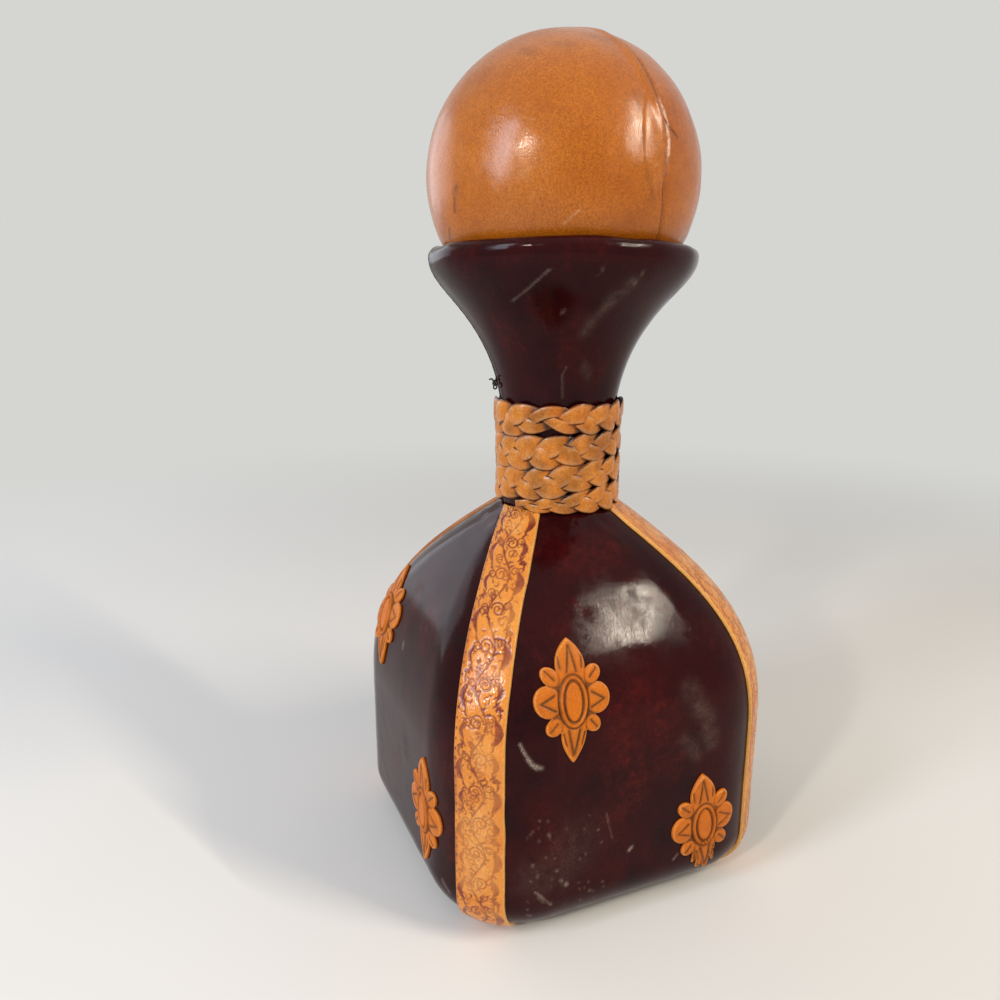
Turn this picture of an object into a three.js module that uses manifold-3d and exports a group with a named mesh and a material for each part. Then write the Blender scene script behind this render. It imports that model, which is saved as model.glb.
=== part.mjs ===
// A square glass decanter wrapped in dark leather, with tan corner strips, stamped medallions,
// a plaited band round its neck and a leather-covered ball stopper that lifts out.
import * as THREE from 'three';
import { mergeVertices } from 'three/addons/utils/BufferGeometryUtils.js';
import Module from 'manifold-3d';

// Driving dimensions in millimetres. +Z is up, -Y is the front, and the origin is the middle of the base.
const bodyWidth = 137; // across the leather of two opposite sides
const cornerRadius = 35; // the body's upright corners
const baseRounding = 17.5; // where the sides turn under
const shoulderStart = 66; // height where the upright sides end
const shoulderRise = 40; // how far the side carries on upward into the shoulder curve
const shoulderPull = 32; // how far the shoulder runs straight into the neck
const shoulderSlope = THREE.MathUtils.degToRad(38.5); // of the shoulder where it meets the neck
const cornerFade = 2.5; // how late the square corners fade into the round neck
const neckBase = 145.2; // height where the shoulder meets the neck
const neckRadius = 22; // outside the sleeve, under the plait
const flareFoot = 176; // height where the neck begins to open
const flareThroat = 41; // how far the flare keeps close to the neck
const throatSwell = 0.7; // how much it opens along that length
const rimOverhang = 1; // how far the leather of the lip stands out past the ball
const rimTop = 244; // height of the lip
const rimTurn = 11; // height over which the lip turns upright
const glassWall = 4;
const leather = 1.2; // thickness of panels, sleeve and ball cover
const layerGap = 0.3; // glue line between one layer and the next
const soleThickness = 2.8;
const soleInset = 0.5; // from the turned-under panels to the sole's edge
const seamGap = 0.4; // between the edges of two neighbouring panels
const stripWidth = 18.5;
const stripThickness = 1;
const stripTopInset = 1.4; // the strips stop this far short of the neck
const stripLean = [0, 0, 0, -8.6]; // sideways drift of each corner's strip by the time it reaches the neck
const upperAcross = -26.5; // from a side's middle to its upper medallion, to the right if positive
const upperAlong = 101.5; // along the side's outline from the base
const lowerAcross = 30;
const lowerAlong = 43.5;
const medallionWidth = 28;
const medallionHeight = 43;
const medallionEdge = 0.9; // thickness at the rim of the stamping
const medallionField = 1.3; // thickness where the petals meet
const medallionBoss = 1.8; // thickness of the oval in the middle
const plaitTurns = 4;
const plaitWave = 37; // length of one full weave of the plait
const plaitSwing = 3.3; // how far a lace swings to each side
const plaitLift = 0.88; // how far a lace rises and dips in the weave
const plaitTail = 0.45; // share of its width that the plait has at both ends
const plaitGap = 0.6; // between one turn and the next
const plaitFoot = 0.5; // from the neck's base to the lowest turn
const plaitLeadIn = 0.4; // turns over which the plait's lower end grows to its full width
const plaitRunOut = 0.85; // turns over which its upper end narrows again
const plaitStart = THREE.MathUtils.degToRad(240); // direction of the plait's ends, on the front left
const laceWidth = 3.2;
const laceThickness = 1.1;
const seamDirection = THREE.MathUtils.degToRad(165); // of the sleeve's sewn seam, on the left
const seamSlit = 1.5;
const threadRadius = 0.4;
const knotRadius = 1.1;
const knotHeight = 17; // of the knot above the flare's foot, past the plait's top turn
const knotTail = 3.5;
const ballDiameter = 100;
const seatGap = 0.3; // between the ball's cover and the lip
const ballSeam = THREE.MathUtils.degToRad(286.6); // direction of the cover's upright seam
const corkLength = 60;
const corkTaper = 0.05; // growth of radius for each millimetre of height
const corkClearance = 0.5; // between cork and neck where the neck is narrowest
const corkSeat = 45; // from the ball's middle down to the flat that the cork is glued to
const dowelRadius = 5;
const dowelSink = 20; // how deep the dowel goes into each of the two
const fitGap = 0.3;

// Counts of facets.
const bendSteps = 4;
const shoulderSteps = 7;
const flareSteps = 7;
const lipSteps = 5;
const stripSteps = 4;
const sleeveColumns = 36;
const lacePerWave = 12;
const ballSegments = 26;
const roundSegments = 24;

// Sizes that follow from those.
const halfWidth = bodyWidth / 2;
const ballRadius = ballDiameter / 2;
const rimRadius = ballRadius + rimOverhang;
const wrap = leather + layerGap;
const panelFoot = soleThickness + layerGap - wrap;
const lipRadius = glassWall / 2 + wrap;
const lipCentre = new THREE.Vector2(rimRadius - lipRadius, rimTop - lipRadius);
const neckLine = neckRadius - lipRadius;
const seatReach = ballRadius + seatGap + lipRadius;
const ballHeight = lipCentre.y + Math.sqrt(seatReach ** 2 - lipCentre.x ** 2);
const bendLength = (Math.PI / 2) * baseRounding;

const materials = {
  glass: { color: 0x4c5a3c, roughness: 0.1, metalness: 0 },
  darkLeather: { color: 0x2e1218, roughness: 0.4, metalness: 0 },
  tanLeather: { color: 0xc07030, roughness: 0.5, metalness: 0 },
  ballLeather: { color: 0xb06a2c, roughness: 0.4, metalness: 0 },
  soleLeather: { color: 0x3a2018, roughness: 0.8, metalness: 0 },
  thread: { color: 0x141214, roughness: 0.8, metalness: 0 },
  wood: { color: 0xb98a58, roughness: 0.7, metalness: 0 },
  cork: { color: 0xa9825a, roughness: 0.9, metalness: 0 },
};

const decanter = new THREE.Group();
const bottle = new THREE.Group();
const stopper = new THREE.Group();
decanter.add(bottle, stopper);

function addPart(group, name, geometry, material) {
  const mesh = new THREE.Mesh(geometry, new THREE.MeshStandardMaterial(materials[material]));
  mesh.name = name;
  group.add(mesh);
}

function solidFrom(points, triangles) {
  const geometry = new THREE.BufferGeometry();
  geometry.setFromPoints(points);
  geometry.setIndex(triangles.flat());
  geometry.computeVertexNormals();
  return geometry;
}

// A sheet with thickness: outer and inner are grids of points, rows upward and columns to the right.
function sheetSolid(outer, inner) {
  const rows = outer.length;
  const columns = outer[0].length;
  const points = [...outer.flat(), ...inner.flat()];
  const under = rows * columns;
  const at = (row, column) => row * columns + column;
  const triangles = [];
  for (let row = 0; row < rows - 1; row++) {
    for (let column = 0; column < columns - 1; column++) {
      const corners = [at(row, column), at(row, column + 1), at(row + 1, column + 1), at(row + 1, column)];
      const [a, b, c, d] = corners;
      triangles.push([a, b, c], [a, c, d]);
      triangles.push([a + under, c + under, b + under], [a + under, d + under, c + under]);
    }
  }
  const border = [];
  for (let column = 0; column < columns - 1; column++) border.push(at(0, column));
  for (let row = 0; row < rows - 1; row++) border.push(at(row, columns - 1));
  for (let column = columns - 1; column > 0; column--) border.push(at(rows - 1, column));
  for (let row = rows - 1; row > 0; row--) border.push(at(row, 0));
  border.forEach((p, i) => {
    const q = border[(i + 1) % border.length];
    triangles.push([q, p, p + under], [q, p + under, q + under]);
  });
  return solidFrom(points, triangles);
}

// A solid through closed rings of equal count, capped by the middle of the first and the last ring.
function loftSolid(rings) {
  const count = rings[0].length;
  const points = rings.flat();
  const triangles = [];
  for (let ring = 0; ring < rings.length - 1; ring++) {
    for (let i = 0; i < count; i++) {
      const next = (i + 1) % count;
      const [a, b] = [ring * count + i, ring * count + next];
      triangles.push([a, b, b + count], [a, b + count, a + count]);
    }
  }
  const middle = (ring) => ring.reduce((sum, p) => sum.add(p), new THREE.Vector3()).divideScalar(count);
  const last = (rings.length - 1) * count;
  const [foot, head] = [points.length, points.length + 1];
  points.push(middle(rings[0]), middle(rings.at(-1)));
  for (let i = 0; i < count; i++) {
    const next = (i + 1) % count;
    triangles.push([foot, next, i], [head, last + i, last + next]);
  }
  return solidFrom(points, triangles);
}

// The side's outline: turned under at the base, upright, then curving over the shoulder to the neck.
const side = new THREE.Path();
side.moveTo(halfWidth - baseRounding, panelFoot);
side.absarc(halfWidth - baseRounding, panelFoot + baseRounding, baseRounding, -Math.PI / 2, 0, false);
side.lineTo(halfWidth, shoulderStart);
side.bezierCurveTo(
  halfWidth, shoulderStart + shoulderRise,
  neckRadius + shoulderPull * Math.cos(shoulderSlope), neckBase - shoulderPull * Math.sin(shoulderSlope),
  neckRadius, neckBase,
);
const sideLength = side.getLength();
const uprightEnd = bendLength + shoulderStart - panelFoot - baseRounding;

// One level of the body: half its width, its height and its corner radius, by distance along the outline.
function bodyLevel(distance) {
  const point = side.getPoint(THREE.MathUtils.clamp(distance / sideLength, 0, 1));
  const over = Math.max(0, (distance - uprightEnd) / (sideLength - uprightEnd));
  const share = cornerRadius / halfWidth;
  const below = cornerRadius - (halfWidth - point.x);
  const above = point.x * (share + (1 - share) * Math.min(over, 1) ** cornerFade);
  return { half: point.x, height: point.y, corner: over > 0 ? above : below };
}

const sideHalf = ({ half, corner }) => half - corner + (corner * Math.PI) / 4;

// How far the level reaches in one direction, and its height, for the surface's slope there.
function reach(distance, direction) {
  const { half, height, corner } = bodyLevel(distance);
  const spread = Math.abs(Math.cos(direction)) + Math.abs(Math.sin(direction));
  return new THREE.Vector2((half - corner) * spread + corner, height);
}

// A point on the body, offset outward: across is measured round the level from the middle of a side,
// positive to the right as seen from outside. Side 0 is the front, then right, back and left.
function bodyPoint(face, across, distance, offset) {
  const level = bodyLevel(distance);
  const { corner } = level;
  const flat = level.half - corner;
  const facing = (face - 1) * (Math.PI / 2);
  const past = THREE.MathUtils.clamp((Math.abs(across) - flat) / corner, 0, Math.PI / 2);
  const direction = facing + Math.sign(across) * past;
  const along = THREE.MathUtils.clamp(across, -flat, flat);
  const step = Math.min(0.01 * baseRounding, sideLength - distance, distance);
  const [low, high] = [reach(distance - step, direction), reach(distance + step, direction)];
  let slope = high.sub(low);
  if (step === 0 && distance === 0) slope = new THREE.Vector2(1, 0);
  const inward = new THREE.Vector2(-Math.cos(shoulderSlope), Math.sin(shoulderSlope));
  if (step === 0 && distance > 0) slope = inward;
  slope.normalize();
  const normal = new THREE.Vector3(
    slope.y * Math.cos(direction), slope.y * Math.sin(direction), -slope.x,
  );
  const point = new THREE.Vector3(
    flat * Math.cos(facing) - along * Math.sin(facing) + corner * Math.cos(direction),
    flat * Math.sin(facing) + along * Math.cos(facing) + corner * Math.sin(direction),
    level.height,
  );
  return point.addScaledVector(normal, offset);
}

function steps(from, to, count) {
  return Array.from({ length: count + 1 }, (_, i) => from + ((to - from) * i) / count);
}

const bodyRows = [
  ...steps(0, bendLength, bendSteps),
  ...steps(uprightEnd, sideLength, shoulderSteps),
];

// Columns crowd towards the corners on the square body and spread evenly on the round neck.
const squareColumns = [0, 0.13, 0.26, 0.4, 0.65, 1];
const roundColumns = squareColumns.map((_, i) => i / (squareColumns.length - 1));

function columnsAt(distance) {
  const blend = Math.max(0, (distance - uprightEnd) / (sideLength - uprightEnd));
  const shares = squareColumns.map((share, i) => THREE.MathUtils.lerp(share, roundColumns[i], blend));
  const half = sideHalf(bodyLevel(distance));
  const left = shares.map((share) => half * (share - 1));
  const right = shares.map((share) => half * (1 - share)).reverse();
  return [...left, ...right.slice(1)];
}

// The flare's middle line, inside its glass: the neck, the throat and the lip turned upright.
const throat = new THREE.CubicBezierCurve(
  new THREE.Vector2(neckLine, flareFoot),
  new THREE.Vector2(neckLine + throatSwell, flareFoot + flareThroat),
  new THREE.Vector2(lipCentre.x, lipCentre.y - rimTurn),
  lipCentre,
);

function throatPoint(share, offset) {
  const tangent = throat.getTangent(share);
  return throat.getPoint(share).add(new THREE.Vector2(tangent.y, -tangent.x).multiplyScalar(offset));
}

function lipPoint(angle, offset) {
  return new THREE.Vector2(Math.cos(angle), Math.sin(angle)).multiplyScalar(offset).add(lipCentre);
}

const turned = (profilePoint, angle) => new THREE.Vector3(
  profilePoint.x * Math.cos(angle), profilePoint.x * Math.sin(angle), profilePoint.y,
);

// The glass bottle, from the middle of its base up the outside, over the lip and down the inside.
function glassBottle() {
  const quarterSteps = 2 * (squareColumns.length - 1);
  const bodyRing = (distance, offset) => [0, 1, 2, 3].flatMap((face) => (
    columnsAt(distance).slice(0, quarterSteps).map((across) => bodyPoint(face, across, distance, offset))
  ));
  const firstAngle = -Math.PI * 0.75;
  const roundRing = (point) => steps(firstAngle, firstAngle + 2 * Math.PI, 4 * quarterSteps)
    .slice(0, -1)
    .map((angle) => turned(point, angle));
  const half = glassWall / 2;
  const neckFoot = neckBase + layerGap;
  const shares = steps(0, 1, flareSteps);
  const outside = [
    new THREE.Vector2(neckLine + half, neckFoot),
    ...shares.map((share) => throatPoint(share, half)),
  ];
  const lip = steps(0, Math.PI, lipSteps).slice(1, -1).map((angle) => lipPoint(angle, half));
  const inside = [
    ...shares.map((share) => throatPoint(1 - share, -half)),
    new THREE.Vector2(neckLine - half, neckFoot),
  ];
  const innerRows = bodyRows.filter((_, i) => i % 2 === 0 || i === bodyRows.length - 1);
  return loftSolid([
    ...bodyRows.map((distance) => bodyRing(distance, -wrap)),
    ...[...outside, ...lip, ...inside].map(roundRing),
    ...innerRows.reverse().map((distance) => bodyRing(distance, -wrap - glassWall)),
  ]);
}

function panel(face) {
  const grid = (offset) => bodyRows.map((distance) => {
    const columns = columnsAt(distance);
    const trim = 1 - seamGap / 2 / columns.at(-1);
    return columns.map((across) => bodyPoint(face, across * trim, distance, offset));
  });
  return sheetSolid(grid(0), grid(-leather));
}

// A corner strip lies over the seam to the right of a side, and may drift as it nears the neck.
function cornerStrip(face) {
  const rows = [...bodyRows.slice(0, -1), sideLength - stripTopInset];
  const grid = (offset) => rows.map((distance) => {
    const over = Math.max(0, (distance - uprightEnd) / (sideLength - uprightEnd));
    const drift = stripLean[face] * over ** 2;
    const half = sideHalf(bodyLevel(distance));
    return steps(-stripWidth / 2, stripWidth / 2, stripSteps).map((place) => {
      const across = half + place + drift;
      const beyond = across > half;
      return bodyPoint(beyond ? (face + 1) % 4 : face, beyond ? across - 2 * half : across, distance, offset);
    });
  });
  const foot = layerGap;
  return sheetSolid(grid(foot + stripThickness), grid(foot));
}

function sole() {
  const half = halfWidth - baseRounding - soleInset;
  const corner = cornerRadius - baseRounding;
  const outline = new THREE.Shape();
  [0, 1, 2, 3].forEach((quarter) => {
    const turn = quarter * (Math.PI / 2);
    const spread = (half - corner) * Math.SQRT2;
    const [x, y] = [spread * Math.cos(turn + Math.PI / 4), spread * Math.sin(turn + Math.PI / 4)];
    outline.absarc(x, y, corner, turn, turn + Math.PI / 2, false);
  });
  return new THREE.ExtrudeGeometry(outline, {
    depth: soleThickness, bevelEnabled: false, curveSegments: roundSegments / 4,
  });
}

// The stamping's outline: a pointed leaf above and below and three round lobes on each side.
const petals = [
  { middle: 0, spread: 22, tip: 1, valley: 0.74, leaf: false },
  { middle: 42, spread: 20, tip: 0.86, valley: 0.66, leaf: false },
  { middle: 90, spread: 28, tip: 1, valley: 0.6, leaf: true },
  { middle: 138, spread: 20, tip: 0.86, valley: 0.66, leaf: false },
  { middle: 180, spread: 22, tip: 1, valley: 0.74, leaf: false },
  { middle: 222, spread: 20, tip: 0.86, valley: 0.66, leaf: false },
  { middle: 270, spread: 28, tip: 1, valley: 0.6, leaf: true },
  { middle: 318, spread: 20, tip: 0.86, valley: 0.66, leaf: false },
];
const lobeSamples = [-1, -0.6, 0, 0.6];

function petalOutline() {
  return petals.flatMap(({ middle, spread, tip, valley, leaf }) => lobeSamples.map((sample) => {
    const angle = THREE.MathUtils.degToRad(middle + sample * spread);
    const swell = leaf ? 1 - Math.abs(sample) : Math.sqrt(1 - sample ** 2);
    const length = valley + (tip - valley) * swell;
    return new THREE.Vector2(
      (Math.cos(angle) * length * medallionWidth) / 2, (Math.sin(angle) * length * medallionHeight) / 2,
    );
  }));
}

// A medallion is glued to a side: place gives its middle, across the side and along the outline.
const fieldShare = 0.6;
const bendShare = 0.8;
const bossShare = 0.4;

function medallion(face, place) {
  const outline = petalOutline();
  const count = outline.length;
  const at = (point, lift) => bodyPoint(face, place.across + point.x, place.along + point.y, layerGap + lift);
  const ring = (share, lift) => outline.map((point) => at(point.clone().multiplyScalar(share), lift));
  const oval = outline.map((point) => {
    const angle = Math.atan2(point.y / medallionHeight, point.x / medallionWidth);
    return at(new THREE.Vector2(
      (Math.cos(angle) * medallionWidth * bossShare) / 2, (Math.sin(angle) * medallionHeight * bossShare) / 2,
    ), medallionBoss);
  });
  const middle = new THREE.Vector2();
  const points = [
    ...ring(fieldShare, 0), ...ring(bendShare, 0), ...ring(1, 0),
    ...ring(1, medallionEdge), ...ring(fieldShare, medallionField), ...oval,
    at(middle, 0), at(middle, medallionBoss),
  ];
  const rings = 6;
  const [foot, head] = [rings * count, rings * count + 1];
  const triangles = [];
  for (let i = 0; i < count; i++) {
    const next = (i + 1) % count;
    for (let ringIndex = 0; ringIndex < rings - 1; ringIndex++) {
      const [a, b] = [ringIndex * count + i, ringIndex * count + next];
      triangles.push([a, b, b + count], [a, b + count, a + count]);
    }
    const rim = (rings - 1) * count;
    triangles.push([foot, next, i], [head, rim + i, rim + next]);
  }
  return solidFrom(points, triangles);
}

// They were placed by hand, so each is a little off the common place.
const handPlacing = [
  { upper: [0, -1], lower: [-1.3, -3.5] },
  { upper: [0, 0.5], lower: [0, 0.5] },
  { upper: [0, -1], lower: [-1, -1.5] },
  { upper: [0, 2.5], lower: [1.5, 5] },
];
const medallionPlaces = handPlacing.map(({ upper, lower }) => ({
  upper: { across: upperAcross + upper[0], along: upperAlong + upper[1] },
  lower: { across: lowerAcross + lower[0], along: lowerAlong + lower[1] },
}));

// The sleeve's section: up the neck, out along the flare, over the lip and a little way into the mouth.
function sleeveSection(offset) {
  return [
    new THREE.Vector2(neckLine + offset, neckBase + layerGap),
    ...steps(0, 1, flareSteps).map((share) => throatPoint(share, offset)),
    ...steps(0, Math.PI, lipSteps).slice(1).map((angle) => lipPoint(angle, offset)),
    throatPoint(1 - 1 / flareSteps, -offset),
  ];
}

function neckSleeve() {
  const grid = (offset) => sleeveSection(offset).map((point) => {
    const slit = seamSlit / 2 / point.x;
    return steps(seamDirection + slit, seamDirection + 2 * Math.PI - slit, sleeveColumns)
      .map((angle) => turned(point, angle));
  });
  return sheetSolid(grid(lipRadius), grid(lipRadius - leather));
}

// The thread lies sunk in the slit between the sleeve's edges and ends in a knot with a short tail.
function seamThread() {
  const sunk = lipRadius - leather / 2;
  const sides = 6;
  const knotFoot = knotHeight + flareFoot;
  const shares = steps(0, 1, 4 * flareSteps).filter((share) => throatPoint(share, sunk).y > knotFoot);
  const knotBase = throatPoint(shares[0], sunk);
  const out = lipRadius - sunk + knotRadius + layerGap;
  const spine = [
    { point: knotBase.clone().add(new THREE.Vector2(out + knotTail, knotRadius)), radius: threadRadius },
    { point: knotBase.clone().add(new THREE.Vector2(out + knotRadius, 0)), radius: threadRadius },
    { point: knotBase.clone().add(new THREE.Vector2(out + knotRadius / 2, 0)), radius: knotRadius * 0.9 },
    { point: knotBase.clone().add(new THREE.Vector2(out - knotRadius / 2, 0)), radius: knotRadius },
    { point: knotBase.clone().add(new THREE.Vector2(out - knotRadius, 0)), radius: threadRadius },
    { point: knotBase.clone().add(new THREE.Vector2(threadRadius, 0)), radius: threadRadius },
    ...shares.slice(1).map((share) => ({ point: throatPoint(share, sunk), radius: threadRadius })),
  ];
  const across = new THREE.Vector3(-Math.sin(seamDirection), Math.cos(seamDirection), 0);
  return loftSolid(spine.map(({ point, radius }, i) => {
    const ahead = spine[Math.min(i + 1, spine.length - 1)].point;
    const behind = spine[Math.max(i - 1, 0)].point;
    const run = turned(ahead.clone().sub(behind), seamDirection).normalize();
    const other = new THREE.Vector3().crossVectors(run, across);
    return steps(0, 2 * Math.PI, sides).slice(0, -1).map((angle) => turned(point, seamDirection)
      .addScaledVector(across, radius * Math.cos(angle))
      .addScaledVector(other, radius * Math.sin(angle)));
  }));
}

// The plait: three laces that cross over and under each other, wound up the neck in one long helix.
const plaitEnd = plaitTurns * 2 * Math.PI;

function plaitShare(turn) {
  const grown = Math.min(turn / plaitLeadIn, (plaitEnd - turn) / plaitRunOut) / (2 * Math.PI);
  return THREE.MathUtils.lerp(plaitTail, 1, THREE.MathUtils.smoothstep(grown, 0, 1));
}

const plaitHalf = (turn) => plaitShare(turn) * (plaitSwing + laceWidth / 2);

function plaitHeight(turn) {
  if (turn < 2 * Math.PI) {
    const climb = (2 * plaitHalf(0) + plaitGap) * (turn / (2 * Math.PI));
    return neckBase + plaitFoot + plaitHalf(turn) + climb;
  }
  const below = turn - 2 * Math.PI;
  return plaitHeight(below) + plaitHalf(below) + plaitHalf(turn) + plaitGap;
}

function sleeveRadius(height) {
  if (height <= flareFoot) return neckRadius;
  const level = steps(0, 1, 40 * flareSteps).map((share) => throatPoint(share, lipRadius));
  return level.find((point) => point.y >= height).x;
}

const plaitSpan = 2 * plaitLift + laceThickness;
const plaitWaves = Math.round((plaitEnd * (neckRadius + plaitSpan / 2)) / plaitWave);

function laceSections(lace) {
  const phase = (lace * 2 * Math.PI) / 3;
  const path = (turn) => {
    const weave = (turn / plaitEnd) * plaitWaves * 2 * Math.PI + phase;
    const share = plaitShare(turn);
    const height = plaitHeight(turn) + share * plaitSwing * Math.sin(weave);
    const bed = sleeveRadius(height + (share * laceWidth) / 2) + layerGap + plaitSpan / 2;
    const radius = bed + plaitLift * Math.sin(2 * weave);
    return turned(new THREE.Vector2(radius, height), plaitStart + turn);
  };
  return steps(0, plaitEnd, plaitWaves * lacePerWave).map((turn) => {
    const nudge = plaitEnd / plaitWaves / 100;
    const [behind, ahead] = [path(Math.max(0, turn - nudge)), path(Math.min(plaitEnd, turn + nudge))];
    const run = ahead.sub(behind).normalize();
    const outward = new THREE.Vector3(Math.cos(plaitStart + turn), Math.sin(plaitStart + turn), 0);
    const across = new THREE.Vector3().crossVectors(outward, run).normalize();
    const up = new THREE.Vector3().crossVectors(run, across);
    const wide = (plaitShare(turn) * laceWidth) / 2;
    const thick = laceThickness / 2;
    const centre = path(turn);
    return [
      centre.clone().addScaledVector(across, wide),
      centre.clone().addScaledVector(up, thick),
      centre.clone().addScaledVector(across, -wide),
      centre.clone().addScaledVector(up, -thick),
    ];
  });
}

// The least distance between a lace and its own next turn, measured on its section's corners.
function leastTurnGap(sections) {
  const perTurn = Math.floor(sections.length / plaitTurns);
  let least = Infinity;
  sections.forEach((section, i) => {
    sections.slice(i + perTurn / 2).forEach((other) => {
      section.forEach((p) => other.forEach((q) => {
        least = Math.min(least, p.distanceTo(q));
      }));
    });
  });
  return least;
}

// The stopper's ball, cork and dowel.
const wasm = await Module();
wasm.setup();

function manifoldOf(geometry) {
  const bare = geometry.clone();
  bare.deleteAttribute('normal');
  bare.deleteAttribute('uv');
  const merged = mergeVertices(bare);
  return new wasm.Manifold(new wasm.Mesh({
    numProp: 3,
    vertProperties: new Float32Array(merged.attributes.position.array),
    triVerts: new Uint32Array(merged.index.array),
  }));
}

function geometryOf(manifold) {
  const mesh = manifold.getMesh();
  const geometry = new THREE.BufferGeometry();
  geometry.setAttribute('position', new THREE.BufferAttribute(mesh.vertProperties, 3));
  geometry.setIndex(new THREE.BufferAttribute(mesh.triVerts, 1));
  geometry.computeVertexNormals();
  return geometry;
}

const sphere = (radius) => new THREE.SphereGeometry(radius, ballSegments, ballSegments / 2)
  .rotateX(Math.PI / 2)
  .rotateZ(ballSeam)
  .translate(0, 0, ballHeight);

const roundBar = (radius, low, high) => new THREE.CylinderGeometry(radius, radius, high - low, roundSegments)
  .rotateX(Math.PI / 2)
  .translate(0, 0, (low + high) / 2);

const corkTop = ballHeight - corkSeat - fitGap;
const corkFoot = corkTop - corkLength;
const corkRadius = (height) => neckLine - glassWall / 2 - corkClearance + corkTaper * (height - flareFoot);
const dowelFoot = corkTop - dowelSink;
const dowelHead = corkTop + fitGap + dowelSink;

function stopperBall() {
  const below = new THREE.BoxGeometry(ballDiameter, ballDiameter, ballDiameter)
    .translate(0, 0, ballHeight - corkSeat - ballRadius);
  const bore = roundBar(dowelRadius + fitGap, corkFoot, dowelHead + fitGap);
  const ball = manifoldOf(sphere(ballRadius - wrap));
  return geometryOf(ball.subtract(manifoldOf(below)).subtract(manifoldOf(bore)));
}

// Half of the ball's cover, on one side of the upright seam, with the hole that the cork comes through.
function stopperCover(facing) {
  const half = new THREE.BoxGeometry(ballDiameter, 2 * ballDiameter, 2 * ballDiameter)
    .translate(ballRadius + seamGap / 2, 0, 0)
    .rotateZ(facing)
    .translate(0, 0, ballHeight);
  const hole = roundBar(corkRadius(corkTop) + fitGap, corkFoot, ballHeight);
  const shell = manifoldOf(sphere(ballRadius)).subtract(manifoldOf(sphere(ballRadius - leather)));
  return geometryOf(shell.intersect(manifoldOf(half)).subtract(manifoldOf(hole)));
}

function stopperCork() {
  const bore = dowelRadius + fitGap;
  const profile = [
    new THREE.Vector2(0, corkFoot),
    new THREE.Vector2(corkRadius(corkFoot), corkFoot),
    new THREE.Vector2(corkRadius(corkTop), corkTop),
    new THREE.Vector2(bore, corkTop),
    new THREE.Vector2(bore, dowelFoot - fitGap),
    new THREE.Vector2(0, dowelFoot - fitGap),
  ];
  return new THREE.LatheGeometry(profile, roundSegments).rotateX(Math.PI / 2);
}

const faceNames = ['front', 'right', 'back', 'left'];
const cornerNames = ['front_right', 'back_right', 'back_left', 'front_left'];

addPart(bottle, 'glass_bottle', glassBottle(), 'glass');
addPart(bottle, 'base_sole', sole(), 'soleLeather');
faceNames.forEach((name, face) => {
  addPart(bottle, `panel_${name}`, panel(face), 'darkLeather');
  addPart(bottle, `corner_strip_${cornerNames[face]}`, cornerStrip(face), 'tanLeather');
  Object.entries(medallionPlaces[face]).forEach(([level, place]) => {
    addPart(bottle, `medallion_${name}_${level}`, medallion(face, place), 'tanLeather');
  });
});
addPart(bottle, 'neck_sleeve', neckSleeve(), 'darkLeather');
addPart(bottle, 'sleeve_thread', seamThread(), 'thread');
[1, 2, 3].forEach((lace) => {
  const sections = laceSections(lace);
  console.log(`plait lace ${lace}: least gap to its own next turn ${leastTurnGap(sections).toFixed(2)} mm`);
  addPart(bottle, `plait_lace_${lace}`, loftSolid(sections), 'tanLeather');
});
addPart(stopper, 'stopper_ball', stopperBall(), 'wood');
addPart(stopper, 'stopper_cover_left', stopperCover(ballSeam - Math.PI / 2), 'ballLeather');
addPart(stopper, 'stopper_cover_right', stopperCover(ballSeam + Math.PI / 2), 'ballLeather');
addPart(stopper, 'stopper_cork', stopperCork(), 'cork');
addPart(stopper, 'stopper_dowel', roundBar(dowelRadius, dowelFoot, dowelHead), 'wood');

export default decanter;
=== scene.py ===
"""Dresses a leather-covered decanter: tooled strips, stamped medallions, plaited neck, ball stopper."""

import logging
import math
from dataclasses import dataclass, field, replace
from enum import Enum
from typing import Callable, Sequence

import bpy
import numpy as np
from mathutils import Matrix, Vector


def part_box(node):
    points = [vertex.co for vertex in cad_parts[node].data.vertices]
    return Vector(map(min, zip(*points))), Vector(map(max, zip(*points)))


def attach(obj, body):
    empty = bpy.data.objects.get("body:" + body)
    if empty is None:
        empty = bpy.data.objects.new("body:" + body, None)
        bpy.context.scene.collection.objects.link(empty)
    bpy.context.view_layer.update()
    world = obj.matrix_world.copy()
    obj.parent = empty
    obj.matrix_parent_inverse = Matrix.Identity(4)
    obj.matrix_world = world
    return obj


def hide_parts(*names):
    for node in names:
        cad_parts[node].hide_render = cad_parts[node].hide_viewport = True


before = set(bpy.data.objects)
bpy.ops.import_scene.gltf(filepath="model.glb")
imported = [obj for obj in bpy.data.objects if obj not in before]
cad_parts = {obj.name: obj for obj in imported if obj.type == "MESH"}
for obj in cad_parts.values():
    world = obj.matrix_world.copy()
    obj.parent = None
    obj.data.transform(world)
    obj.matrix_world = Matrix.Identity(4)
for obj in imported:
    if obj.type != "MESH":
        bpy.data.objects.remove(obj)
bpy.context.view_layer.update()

LOG = logging.getLogger("decanter")
MM = 0.001
TURN = 2.0 * math.pi
LATTICE = 32
Array = np.ndarray
Colour = tuple[float, float, float, float]
Output = bpy.types.NodeSocket


class Side(Enum):
    """The four upright sides, in order round the bottle as seen from above."""

    FRONT = 0
    RIGHT = 1
    BACK = 2
    LEFT = 3

    @property
    def label(self) -> str:
        """The side's word in the names of its pieces."""
        return self.name.lower()

    @property
    def next(self) -> "Side":
        """The side to the right, as seen from outside."""
        return Side((self.value + 1) % 4)


class Body(Enum):
    """The bodies that pieces ride on."""

    BOTTLE = "bottle"
    STOPPER = "stopper"


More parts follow.
